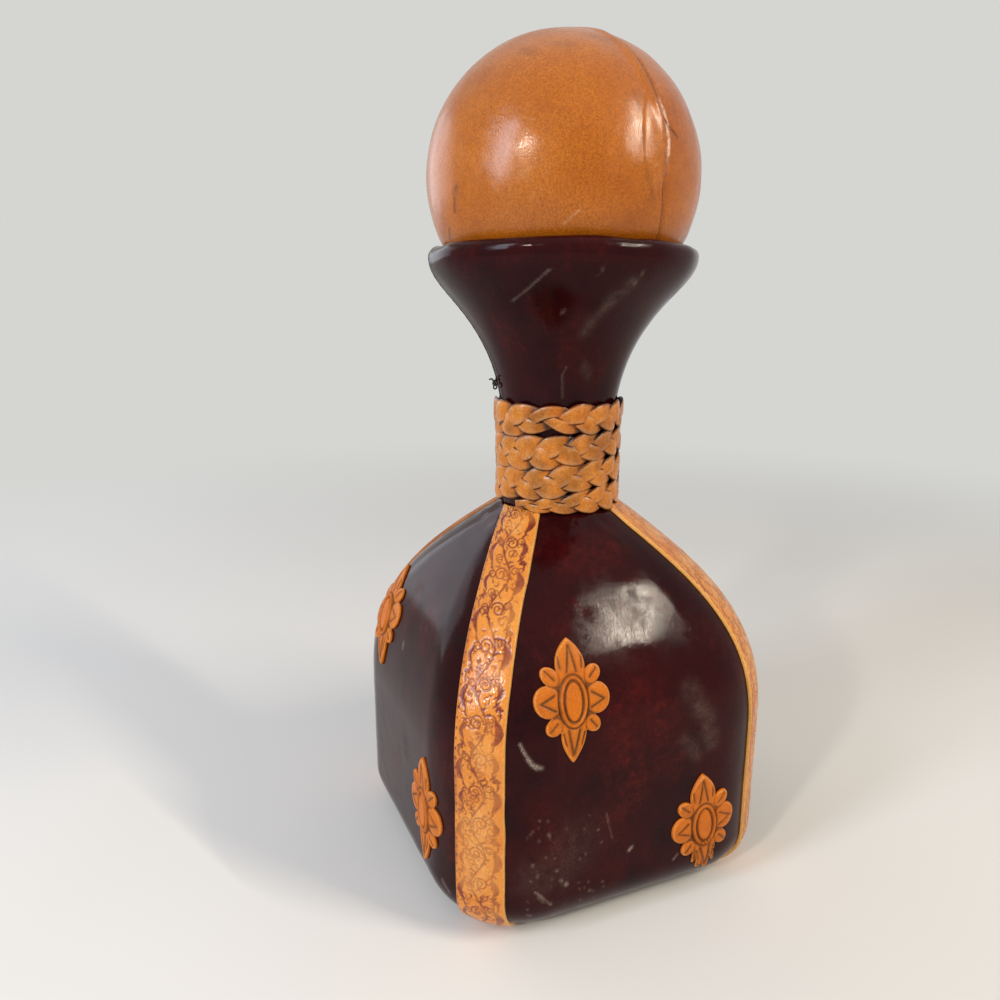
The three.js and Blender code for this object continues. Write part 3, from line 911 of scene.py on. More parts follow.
@dataclass
class NeckForm:
    """The neck and flare, as a section turned about the upright axis, measured in its glass's middle."""

    neck_radius: float = 22.0 * MM
    base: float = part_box("neck_sleeve")[0][2]
    flare_foot: float = 176.0 * MM
    flare_throat: float = 41.0 * MM
    throat_swell: float = 0.7 * MM
    rim_radius: float = 51.0 * MM
    rim_top: float = 244.0 * MM
    rim_turn: float = 11.0 * MM
    lip: float = 3.5 * MM
    sag: float = 1.9 * MM
    sag_front: float = math.radians(242.0)
    sag_from: float = 30.0 * MM
    sag_to: float = 3.0 * MM
    pinch: float = 0.03
    throat_points: int = 240
    foot_points: int = 40
    lip_points: int = 40

    def __post_init__(self) -> None:
        """Works out the flare's middle line and its outward direction."""
        self.line_radius = self.neck_radius - self.lip
        self.lip_middle = np.array([self.rim_radius - self.lip, self.rim_top - self.lip])
        foot = np.array([self.line_radius, self.flare_foot])
        opening = foot + (self.throat_swell, self.flare_throat)
        turning = self.lip_middle - (0.0, self.rim_turn)
        self.throat = bezier((foot, opening, turning, self.lip_middle), self.throat_points)
        run = unit(np.gradient(self.throat, axis=0))
        self.outward = np.c_[run[:, 1], -run[:, 0]]

    def section(self, offset: float, turn_in: float) -> Array:
        """Outline up the outside, over the lip and into the mouth.

        Args:
            offset: Distance from the middle line.
            turn_in: How far it goes down inside the mouth.

        Returns:
            Radius and height of each point.
        """
        radius = self.line_radius + offset
        foot = np.linspace((radius, self.base), (radius, self.flare_foot), self.foot_points)
        angle = np.linspace(0.0, math.pi, self.lip_points)[1:-1]
        lip = self.lip_middle + offset * pointing(angle)
        inside = (self.throat - offset * self.outward)[::-1]
        inside = inside[inside[:, 1] > self.lip_middle[1] - turn_in]
        return np.vstack([foot[:-1], self.throat + offset * self.outward, lip, inside])

    def settled(self, points: Array) -> Array:
        """The lip dipping a little at both sides and drawn in at one, as softened leather does.

        Args:
            points: Points of the neck as it was made.

        Returns:
            The settled points.
        """
        direction = np.arctan2(points[..., 1], points[..., 0]) - self.sag_front
        near_rim = smooth_step(self.rim_top - self.sag_from, self.rim_top - self.sag_to, points[..., 2])
        drop = self.sag * near_rim * np.sin(direction) ** 2
        drawn = 1.0 - self.pinch * near_rim * np.clip(-np.sin(direction), 0.0, 1.0) ** 4
        level = points[..., :2] * drawn[..., None]
        return np.concatenate([level, (points[..., 2] - drop)[..., None]], axis=-1)

    def radius_at(self, height: Array) -> Array:
        """The leather's outer radius at some heights below the lip."""
        outside = self.throat + self.lip * self.outward
        return np.interp(height, outside[:, 1], outside[:, 0])


@dataclass(frozen=True)
class Mark:
    """A scratch, scuff or rubbed patch: a line across a surface, with its width and strength."""

    line: tuple[tuple[float, float], ...]
    width: float
    strength: float
    kind: str = "scuff"


RAGGED = 0.6
RAGGED_SIZE = 3.0 * MM
SWAY_RISE = 0.09 * MM
SWAY_SIZE = 30.0 * MM
RIPPLE_RISE = 0.016 * MM
RIPPLE_SIZE = 6.0 * MM


def paint_marks(marks: Sequence[Mark], flat: Array, solid: Array) -> dict[str, Array]:
    """Works out how strongly each point of a surface is marked.

    Args:
        marks: The marks, in the same measure as flat.
        flat: Points on the surface's flat pattern, in a last axis of two.
        solid: The same points in space, which break the marks up.

    Returns:
        A value from 0 to 1 for each kind of mark.
    """
    values = {kind: np.zeros(flat.shape[:-1]) for kind in ("scuff", "rub", "stain")}
    ragged = 1.0 + RAGGED * WEAR_NOISE.layered(solid, RAGGED_SIZE)
    for mark in marks:
        reach = bell(distance_to_line(flat, np.array(mark.line)), mark.width) * mark.strength
        values[mark.kind] = np.maximum(values[mark.kind], np.clip(reach * ragged, 0.0, 1.0))
    return values


def hide_sway(points: Array) -> Array:
    """How much glued leather rises and falls over what is under it, in metres."""
    broad = SWAY_RISE * HIDE_NOISE.layered(points, SWAY_SIZE)
    return broad + RIPPLE_RISE * HIDE_NOISE.at(points + 1.0, RIPPLE_SIZE)


@dataclass
class Panels:
    """The four dark sides of the body."""

    form: BodyForm
    thickness: float = 1.2 * MM
    seam: float = 0.4 * MM
    rows: int = 320
    columns: int = 220
    under_step: int = 10
    pucker: float = 0.35 * MM
    pucker_size: float = 3.6 * MM
    pucker_reach: float = 11.0 * MM
    foot_darkening: float = 0.75
    foot_reach: float = 9.0 * MM
    chips: int = 46
    chips_from: tuple[float, float] = (-45.0, 20.0)
    chips_to: tuple[float, float] = (-14.0, 60.0)
    chip_seed: int = 11

    def dye_chips(self) -> list[Mark]:
        """Small pale chips in the dye, low on the left of the front.

        Returns:
            The chips, in millimetres across and along the side.
        """
        chance = np.random.default_rng(self.chip_seed)
        marks = []
        for _ in range(self.chips):
            x, y = chance.uniform(self.chips_from, self.chips_to)
            width, strength = chance.uniform(0.25, 0.5), chance.uniform(0.1, 0.45)
            marks.append(Mark(((x, y), (x + 0.3, y - 0.5)), width, strength))
        return marks

    def marks(self, side: Side) -> list[Mark]:
        """The worn places on a side, in millimetres across and along it.

        Args:
            side: Which side.

        Returns:
            Its marks.
        """
        if side is Side.FRONT:
            return [
                Mark(((-46.4, 88.6), (-45.2, 85.6), (-43.2, 82.4)), 0.4, 0.8),
                Mark(((-44.0, 83.2), (-42.2, 80.8), (-39.4, 79.6)), 0.62, 0.95),
                Mark(((-43.4, 81.4), (-41.0, 79.2)), 0.35, 0.6),
                Mark(((-41.2, 31.4), (-39.0, 29.2), (-37.2, 27.0), (-35.0, 24.8)), 0.45, 0.55),
                Mark(((-40.2, 29.0), (-38.0, 26.4)), 0.35, 0.35),
                Mark(((-3.6, 37.8), (-2.6, 38.8)), 0.6, 0.7),
                Mark(((16.2, 28.0), (17.8, 29.6)), 0.5, 0.6),
                Mark(((-33.4, 38.6), (-33.0, 38.0)), 0.6, 0.5),
                Mark(((-31.8, 34), (-31.2, 33.4)), 0.6, 0.5),
                Mark(((-29.5, 31.9), (-29, 31.3)), 0.7, 0.6),
                Mark(((-36.6, 53.8), (-36.2, 52.8)), 0.5, 0.45),
                Mark(((-20, 26), (-19.4, 25.6)), 0.5, 0.35),
                Mark(((-13.9, 55.9), (-12.4, 50), (-11, 45)), 0.3, 0.22),
                Mark(((-26, 47), (-30, 40), (-40, 36)), 9.0, 0.06),
                # Partly pale dust and partly a painted reflection, right of the front's middle.
                Mark(((21, 95.5), (27, 85), (30.5, 74.4)), 3.8, 0.1),
                Mark(((18, 77), (24, 70)), 3.0, 0.06),
                Mark(((0.3, 99.4), (5.8, 93), (12.2, 70.6)), 9.0, 0.5, "rub"),
                Mark(((-10, 93), (-2, 66), (-8, 55)), 8.0, 0.55, "rub"),
                Mark(((-40, 62), (-34, 48)), 7.0, 0.4, "rub"),
                Mark(((-12.8, 150), (2, 152)), 9.0, 0.5, "rub"),
                *self.dye_chips(),
            ]
        if side is Side.LEFT:
            return [
                Mark(((10, 118), (16, 112)), 9.0, 0.5, "rub"),
                Mark(((47, 60), (49, 40)), 4.0, 0.4, "rub"),
                Mark(((44, 27), (47, 24)), 0.8, 0.5),
                Mark(((-4, 101), (-3, 99)), 0.7, 0.4),
            ]
        return [
            Mark(((-8, 92), (6, 84)), 10.0, 0.5, "rub"),
            Mark(((12, 54), (18, 46)), 9.0, 0.5, "rub"),
            Mark(((-20, 46), (-14, 40)), 0.7, 0.45),
        ]

    def build(self, workshop: Workshop) -> None:
        """Makes the four panels.

        Args:
            workshop: What turns drafts into pieces.
        """
        share = np.linspace(-1.0, 1.0, self.columns)
        along = np.linspace(0.0, self.form.length, self.rows)[:, None]
        across = share * (self.form.side_half(along) - self.seam / 2)
        along = along + 0.0 * across
        for side in Side:
            plain = self.form.place(side, across, along, 0.0)
            near_neck = bell(self.form.length - along, self.pucker_reach)
            puckers = HIDE_NOISE.at(plain * (1.0, 1.0, 0.2) + 3.0, self.pucker_size)
            lift = hide_sway(plain) + self.pucker * near_neck * puckers
            top = self.form.place(side, across, along, lift)
            under = self.form.place(side, across, along, -self.thickness)
            values = paint_marks(self.marks(side), np.stack([across, along], axis=-1) / MM, plain)
            # Darker towards the foot of each side.
            values["stain"] = np.maximum(values["stain"], self.foot_darkening * bell(along, self.foot_reach))
            draft = closed_sheet(top, under, self.under_step, values)
            node = f"panel_{side.label}"
            workshop.piece(draft, f"leather_{node}", OXBLOOD, Body.BOTTLE, node)


class ScrollTooling:
    """Traditional scrollwork tooled along a strip: crescents and buds on both sides, with curls between."""

    UNIT = 24.0 * MM
    MARGIN = 1.7 * MM
    SWAY = 2.6 * MM
    FINE_LINE = 0.22 * MM
    CURL_EYE = 0.35 * MM
    LEFT_START = 0.42
    LEFT_PLUMP = 0.7
    STEM_CURLS = ((1.0, 0.25), (-1.0, 0.75))
    STEM_LEAVES = (-0.17, -0.08, 0.12, 0.19)
    SMALL_CURLS = 10
    SMALL_CURL_SPREAD = 6.4 * MM
    ARCS = 34
    ARC_SPREAD = 6.8 * MM
    EDGE_DOTS = 7
    EDGE_DOT_INSET = 0.9 * MM
    CRESCENTS = ((0.0, 8.4, 1.25), (14.4, 5.6, 0.9))
    BUD_HEIGHT = 11.4 * MM

    def __init__(self, width: float, length: float, seed: int) -> None:
        """Draws the strokes as dots of a given half-width.

        Args:
            width: The strip's width.
            length: The strip's length.
            seed: Number that fixes the small differences of handwork.
        """
        self.half = width / 2
        self.chance = np.random.default_rng(seed)
        self.dots: list[Array] = []
        shift = self.chance.uniform(0.0, self.UNIT)
        for number in range(-1, math.ceil(length / self.UNIT) + 1):
            self.draw_unit(number * self.UNIT + shift)

    def stroke(self, line: Array, thick: Array | float) -> None:
        """Adds a stroke through points across and along the strip, with half its width."""
        self.dots.append(np.c_[line, np.broadcast_to(thick, len(line))])

    def curl(
        self, middle: Sequence[float], radius: float, turns: float, start: float, way: float, thick: float,
    ) -> None:
        """Adds a spiral that winds in to its middle.

        Args:
            middle: Where it ends, across and along the strip.
            radius: How far out it starts.
            turns: How often it goes round.
            start: Direction where it starts, in radians.
            way: 1 to wind anticlockwise, -1 to wind clockwise.
            thick: Half its width where it starts.
        """
        share = np.linspace(0.0, 1.0, max(16, int(60 * turns * radius / (4 * MM))))
        angle = start + way * share * turns * TURN
        reach = radius * (1.0 - share) ** 0.75 + self.CURL_EYE
        line = np.array(middle) + reach[:, None] * pointing(angle)
        self.stroke(line, thick * (1.0 - 0.45 * share))

    def arc(self, middle: Sequence[float], radius: float, start: float, end: float, thick: float) -> None:
        """Adds a stroke along part of a circle, thinner towards its ends.

        Args:
            middle: The circle's middle, across and along the strip.
            radius: The circle's radius.
            start: Direction where the stroke starts, in degrees.
            end: Direction where it ends, in degrees.
            thick: Half its width in the middle.
        """
        share = np.linspace(-1.0, 1.0, 22)
        angle = np.radians(start + (end - start) * (0.5 + 0.5 * share))
        line = np.array(middle) + radius * pointing(angle)
        self.stroke(line, thick * (1.0 - 0.7 * share**2))

    def dot(self, middle: Sequence[float], radius: float) -> None:
        """Adds a round dot."""
        self.stroke(np.array([middle]), radius)

    def leaf(self, root: Sequence[float], direction: float, reach: float, bow: float, thick: float) -> None:
        """Adds a filled leaf that bows to one side.

        Args:
            root: Where it grows from.
            direction: Which way it points, in radians.
            reach: Its length.
            bow: How far its middle bows out.
            thick: Half its greatest width.
        """
        share = np.linspace(0.0, 1.0, 18)[:, None]
        run = pointing(direction)
        bowed = np.array([-run[1], run[0]])
        line = np.array(root) + share * reach * run + np.sin(share * math.pi) * bow * bowed
        self.stroke(line, thick * np.sin(share[:, 0] * math.pi) ** 0.7 + 0.08 * MM)

    def draw_unit(self, foot: float) -> None:
        """Draws one unit of the pattern: a running scroll between two rows of crescents and buds.

        Args:
            foot: Where the unit starts along the strip.
        """
        head = foot + self.UNIT
        self.draw_border(1.0, foot, 1.0)
        self.draw_border(-1.0, foot + self.LEFT_START * self.UNIT, self.LEFT_PLUMP)
        share = np.linspace(0.0, 1.0, 90)
        stem = np.c_[self.SWAY * np.sin(share * TURN), foot + share * self.UNIT]
        self.stroke(stem, self.FINE_LINE + 0.16 * MM * np.sin(share * 3 * TURN) ** 2)
        for hand, place in self.STEM_CURLS:
            facing = math.pi / 2 * (1 - hand)
            middle = (-hand * 0.9 * MM, foot + (place + 0.03) * self.UNIT)
            self.curl(middle, 2.2 * MM, 1.5, facing, hand, 0.3 * MM)
            for step in self.STEM_LEAVES:
                root = (self.SWAY * math.sin((place + step) * TURN), foot + (place + step) * self.UNIT)
                way = facing + hand * self.chance.uniform(0.3, 1.1)
                self.leaf(root, way, self.chance.uniform(1.6, 2.6) * MM, 0.5 * MM * hand, 0.34 * MM)
        for _ in range(self.SMALL_CURLS):
            spot = self.chance.uniform((-self.SMALL_CURL_SPREAD, foot), (self.SMALL_CURL_SPREAD, head))
            size, turns, start = self.chance.uniform((0.8 * MM, 0.8, 0.0), (1.5 * MM, 1.2, TURN))
            self.curl(spot, size, turns, start, self.chance.choice((-1.0, 1.0)), self.FINE_LINE)
        for _ in range(self.ARCS):
            spot = self.chance.uniform((-self.ARC_SPREAD, foot), (self.ARC_SPREAD, head))
            start = self.chance.uniform(0.0, 360.0)
            size = self.chance.uniform(0.5, 1.1) * MM
            self.arc(spot, size, start, start + self.chance.uniform(90, 200), 0.2 * MM)
        for step in range(self.EDGE_DOTS):
            spot = (-self.half + self.EDGE_DOT_INSET, foot + step / self.EDGE_DOTS * self.UNIT)
            self.dot(spot, self.chance.uniform(0.25, 0.5) * MM)

    def draw_border(self, hand: float, low: float, plump: float) -> None:
        """Draws one side's crescents, bud and curls.

        Args:
            hand: 1 for the right side, -1 for the left.
            low: Where the large crescent starts along the strip.
            plump: How full the crescents are.
        """
        up = math.pi / 2
        inner = hand * (self.half - self.MARGIN - 2.3 * MM)
        for start, reach, thick in self.CRESCENTS:
            foot, head = low + start * MM, low + (start + reach) * MM
            self.leaf((inner, foot), up, reach * MM, -hand * 0.22 * reach * MM, plump * thick * MM)
            self.curl((inner - hand * 1.1 * MM, head), 1.2 * MM, 1.2, up * (1 - hand), hand, 0.28 * MM)
            self.leaf((inner, foot), -hand * 0.4 - up, 2.4 * MM, hand * 0.5 * MM, 0.26 * MM)
        bud = np.array([hand * (self.half - self.MARGIN - 1.0 * MM), low + self.BUD_HEIGHT])
        for turn in (0.3, up, math.pi - 0.3):
            self.dot(bud + 0.8 * MM * pointing(turn), plump * 0.66 * MM)
        self.leaf(bud, -up, 3.2 * MM, hand * 0.6 * MM, self.FINE_LINE)
        self.leaf(bud, up, 3.0 * MM, hand * 0.8 * MM, 0.3 * MM)

    def depth_on(self, across: Array, along: Array, soft: float = 0.16 * MM) -> Array:
        """How deep the tooling is on a grid, from 0 to 1.

        Args:
            across: The grid's places across the strip, in order.
            along: The grid's places along the strip, in order.
            soft: How far the stroke's wall runs out.

        Returns:
            The depth, along by across.
        """
        field_of_strokes = np.full((len(along), len(across)), np.inf)
        reach = 2.0 * soft
        for x, y, thick in np.vstack(self.dots):
            left, right = np.searchsorted(across, (x - thick - reach, x + thick + reach))
            low, high = np.searchsorted(along, (y - thick - reach, y + thick + reach))
            near = np.hypot(across[left:right] - x, along[low:high, None] - y) - thick
            window = field_of_strokes[low:high, left:right]
            np.minimum(window, near, out=window)
        return smooth_step(soft, -0.5 * soft, field_of_strokes)


@dataclass
class CornerStrips:
    """The four tooled tan strips over the body's corners."""

    form: BodyForm
    width: float = 18.5 * MM
    thickness: float = 1.0 * MM
    bed: float = 0.3 * MM
    top_inset: float = 0.5 * MM
    lean: tuple[float, ...] = (4.2 * MM, 0.0, -8.8 * MM, -8.6 * MM)
    edge_round: float = 0.7 * MM
    tool_depth: float = 0.22 * MM
    spacing: float = 0.36 * MM
    rim: tuple[float, ...] = (0.0, 0.05 * MM, 0.14 * MM, 0.28 * MM, 0.46 * MM)
    under_step: int = 8
    sunk: float = 0.05 * MM
    first_seed: int = 40
    ragged: float = 0.22 * MM
    ragged_size: float = 9.0 * MM
    worn_size: float = 15.0 * MM
    worn_height: float = 88.0 * MM
    worn_reach: float = 26.0 * MM
    worn_width: float = 6.0 * MM
    worn_range: tuple[float, float] = (-0.1, 0.5)
    worn_fade: float = 0.5
    worn_rub: float = 0.6
    handling: float = 0.35
    plain_rim: tuple[float, float] = (0.2 * MM, 0.8 * MM)
    front_keep: float = 0.6
    grubby_size: float = 11.0 * MM
    grubby_range: tuple[float, float] = (-0.5, 0.4)
    grubby_edge: tuple[float, float] = (2.4 * MM, 0.5 * MM)
    grime_and_shade_strength: float = 0.55
    shaded_edge: tuple[float, float] = (5.0 * MM, 2.5 * MM)
    painted_shade_strength: float = 1.8
    cut_edge: tuple[float, float] = (0.6 * MM, 0.2 * MM)
    pale_cut: float = 0.9
    plain_cut: float = 0.2
    pale_sides: tuple[Side, ...] = (Side.FRONT, Side.LEFT)

    def spaced(self, length: float) -> Array:
        """Places along a length, closer together at its rounded ends.

        Args:
            length: The length.

        Returns:
            The places, in order.
        """
        rim = np.array(self.rim)
        inner = np.arange(self.edge_round, length - self.edge_round, self.spacing)
        return np.r_[rim, inner, length - rim[::-1]]

    def build(self, workshop: Workshop) -> None:
        """Makes the four strips.

        Args:
            workshop: What turns drafts into pieces.
        """
        across = self.spaced(self.width) - self.width / 2
        along = self.spaced(self.form.length - self.top_inset)
        for side in Side:
            draft = self.strip(side, across, along)
            node = f"corner_strip_{side.label}_{side.next.label}"
            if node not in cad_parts:
                node = f"corner_strip_{side.next.label}_{side.label}"
            workshop.piece(draft, f"tooled_{node}", TOOLED_TAN, Body.BOTTLE, node)

    def strip(self, side: Side, across: Array, along: Array) -> Draft:
        """Draws the strip to the right of a side.

        Args:
            side: The side to its left.
            across: Places across the strip, from its middle.
            along: Places along the strip, from the base.

        Returns:
            The strip's mesh.
        """
        half = self.width / 2
        tooling = ScrollTooling(self.width, self.form.length, self.first_seed + side.value)
        depth = tooling.depth_on(across, along)
        rise, beside = np.meshgrid(along, across, indexing="ij")
        inward = np.minimum(half - np.abs(beside), np.minimum(rise, along[-1] - rise))
        wall = np.clip(inward / self.edge_round, 0.0, 1.0)
        crown = np.sqrt(1.0 - (1.0 - wall) ** 2)
        over = self.form.over(rise)
        drift = self.lean[side.value] * (smooth_step(0.0, 0.5, over) if side is Side.BACK else over**2)
        edges = np.stack([rise, 0.0 * rise, np.sign(beside)], axis=-1)
        ragged = self.ragged * HIDE_NOISE.at(edges, self.ragged_size)
        place = beside * (1.0 + ragged / half) + drift
        plain = self.form.corner_place(side, place, rise, 0.0)
        handled = bell(rise - self.worn_height, self.worn_reach) * bell(beside, self.worn_width)
        patchy = WEAR_NOISE.layered(plain, self.worn_size)
        worn = smooth_step(*self.worn_range, patchy + self.handling * handled)
        keep = (1.0 - self.worn_fade * worn) * smooth_step(*self.plain_rim, inward)
        keep *= self.front_keep if side is Side.FRONT else 1.0
        lift = hide_sway(plain) + self.bed * smooth_step(0.0, 0.3, wall) + self.thickness * crown
        lift -= self.tool_depth * depth * (0.5 + 0.5 * keep)
        top = self.form.corner_place(side, place, rise, lift)
        under = self.form.corner_place(side, place, rise, -self.sunk)
        patches = smooth_step(*self.grubby_range, WEAR_NOISE.layered(plain + 5.0, self.grubby_size))
        grime_and_shade = smooth_step(*self.grubby_edge, half + beside) * patches
        # Painted shade: darkens the back strip's right edge over the shoulder, on top of its real grime.
        if side is Side.BACK:
            shaded = smooth_step(*self.shaded_edge, half - beside) * smooth_step(0.0, 0.2, over)
            grime_and_shade = np.maximum(grime_and_shade, self.painted_shade_strength * shaded)
        to_edge = half + beside if side is Side.FRONT else half - beside
        pale = self.pale_cut if side in self.pale_sides else self.plain_cut
        cut_edge = smooth_step(*self.cut_edge, to_edge) * pale
        values = {
            "stain": np.clip(depth * keep + self.grime_and_shade_strength * grime_and_shade * (1 - cut_edge), 0.0, 1.0),
            "scuff": cut_edge,
            "rub": self.worn_rub * worn * bell(beside, self.worn_width),
        }
        return closed_sheet(top, under, self.under_step, values)


class StampRelief:
    """The stamped flower in millimetres: a leaf above and below, three lobes each side, an oval boss."""

    LEAVES = (
        ((5.0, 8.5), (6.6, 14.5), (3.9, 18.4), (0.15, 21.6)),
        ((4.6, -8.5), (5.4, -13.0), (3.0, -17.5), (0.15, -21.0)),
    )
    LOBES = (
        ((9.3, 0.5), (4.9, 5.4), 0.0),
        ((7.8, 8.7), (3.7, 2.9), 45.0),
        ((7.3, -8.0), (3.3, 2.8), -45.0),
    )
    CUTS = (
        (((7.0, 2.6), (11.7, -0.1), (6.6, -2.6)), 0.5),
        (((6.6, 7.6), (9.8, 10.9)), 0.42),
        (((6.3, -6.8), (8.8, -9.4)), 0.44),
        (((1.8, 9.9), (0.1, 18.6)), 0.5),
        (((4.0, 11.2), (4.4, 15.0)), 0.36),
        (((2.1, -9.6), (0.15, -18.2)), 0.62),
        (((4.0, -10.4), (2.9, -14.4)), 0.32),
    )
    BOSS = (5.2, 8.6)
    FIELD = (9.2, 12.2)
    REACH = 24.0
    REACH_STEPS = 900
    LEAF_POINTS = 60
    FAR_OUT = 9.0
    FRAY = ((-0.34, 16.4), (-0.15, 19.6), (0.03, 20.6), (0.22, 18.4))
    FRAY_WIDTH = 0.1
    FRAY_ROOT = 12.6
    FRAY_FALL = 7.0
    FOOT = 1.5 * math.pi
    EDGE_HEIGHT = 0.55
    DOME_HEIGHT = 0.6
    SEAM_DEPTH = 0.3
    SEAM_WIDTH = 0.14
    SEAM_LEAST = 0.02
    EDGE_STAIN = 0.85
    EDGE_RANGE = (0.55, 0.15)
    CUT_DEPTH = 0.45
    CUT_HALO = 0.26
    HALO_SPREAD = 2.6
    BOSS_HEIGHT = 1.15
    RIDGE = (0.45, 0.6, 0.45)
    GROOVE = (-0.55, 1.65, 0.45)
    MOAT = (-0.45, -0.4, 0.4)
    CROWN_RISE = 0.35
    CROWN_RANGE = (1.9, 2.8)
    BOSS_STAINS = ((1.65, 0.55), (-0.35, 0.45))

    def petals(self, points: Array) -> list[Array]:
        """How far out each petal's edge is: under 1 inside, 1 on its edge.

        Args:
            points: Flat points, in a last axis of two.

        Returns:
            One field for each petal.
        """
        fields = []
        for controls in self.LEAVES:
            edge = bezier(controls, self.LEAF_POINTS)
            half_width = np.interp(np.abs(points[..., 1]), np.abs(edge[:, 1]), edge[:, 0])
            here = (points[..., 1] * controls[0][1] > 0) & (np.abs(points[..., 1]) < abs(controls[-1][1]))
            fields.append(np.where(here, np.abs(points[..., 0]) / half_width, self.FAR_OUT))
        for (x, y), (wide, tall), turn in self.LOBES:
            for hand in (1.0, -1.0):
                angle = math.radians(turn) * hand
                shifted = points - (x * hand, y)
                longways = shifted[..., 0] * math.cos(angle) + shifted[..., 1] * math.sin(angle)
                sideways = -shifted[..., 0] * math.sin(angle) + shifted[..., 1] * math.cos(angle)
                fields.append(np.hypot(longways / wide, sideways / tall))
        return fields

    def inside_boss(self, points: Array) -> Array:
        """How far inside the boss's oval edge each point is.

        Args:
            points: Flat points, in a last axis of two.

        Returns:
            The distances, less than 0 outside the boss.
        """
        scaled = points / self.BOSS
        reach = np.clip(np.hypot(scaled[..., 0], scaled[..., 1]), 1e-6, None)
        slope = scaled / self.BOSS
        steepness = np.hypot(slope[..., 0], slope[..., 1]) / reach
        return (1.0 - reach) / np.clip(steepness, 1.0 / self.BOSS[1], None)

    def outline(self, angle: Array) -> Array:
        """The stamp's reach in some directions.

        Args:
            angle: The directions, in radians.

        Returns:
            How far the stamp's edge is in each.
        """
        reach = np.linspace(0.0, self.REACH, self.REACH_STEPS)
        spots = pointing(angle)[:, None, :] * reach[None, :, None]
        in_field = np.hypot(spots[..., 0] / self.FIELD[0], spots[..., 1] / self.FIELD[1]) <= 1.0
        inside = (np.min(self.petals(spots), axis=0) <= 1.0) | in_field
        return last_reach(inside, reach)

    def frayed(self, angle: Array, reach: Array) -> Array:
        """The outline with its lower leaf frayed into a few uneven fingers.

        Args:
            angle: Directions from 0 to a turn.
            reach: The whole outline's reach in them.

        Returns:
            The frayed outline's reach.
        """
        off = angle - self.FOOT
        fingers = [long - self.FRAY_FALL * ((off - aim) / self.FRAY_WIDTH) ** 2 for aim, long in self.FRAY]
        torn = np.maximum(np.max(fingers, axis=0), self.FRAY_ROOT)
        ends = (self.FRAY[0][0] - self.FRAY_WIDTH, self.FRAY[-1][0] + self.FRAY_WIDTH)
        return np.where((off > ends[0]) & (off < ends[1]), torn, reach)

    def heights(self, points: Array) -> tuple[Array, Array]:
        """The relief and its dark antiquing.

        Args:
            points: Flat points, in a last axis of two.

        Returns:
            The height, and the stain from 0 to 1.
        """
        domes = np.sort(np.sqrt(np.clip(1.0 - np.array(self.petals(points)) ** 2, 0.0, 1.0)), axis=0)
        seam = bell(domes[-1] - domes[-2], self.SEAM_WIDTH) * (domes[-2] > self.SEAM_LEAST)
        height = self.EDGE_HEIGHT + self.DOME_HEIGHT * domes[-1] - self.SEAM_DEPTH * seam
        stain = np.maximum(seam, self.EDGE_STAIN * smooth_step(*self.EDGE_RANGE, domes[-1]))
        for line, width in self.CUTS:
            for hand in (1.0, -1.0):
                off = distance_to_line(points, np.array(line) * (hand, 1.0))
                cut = bell(off, width)
                height = height - self.CUT_DEPTH * cut
                halo = self.CUT_HALO * bell(off, self.HALO_SPREAD * width)
                stain = np.maximum(stain, np.maximum(cut, halo))
        within = self.inside_boss(points)
        height = np.where(within > 0.0, self.BOSS_HEIGHT, height)
        for rise, place, width in (self.RIDGE, self.GROOVE, self.MOAT):
            height += rise * bell(within - place, width)
        height += self.CROWN_RISE * smooth_step(*self.CROWN_RANGE, within)
        stain = stain * (within < 0.0)
        for place, width in self.BOSS_STAINS:
            stain = np.maximum(stain, bell(within - place, width))
        return height, stain


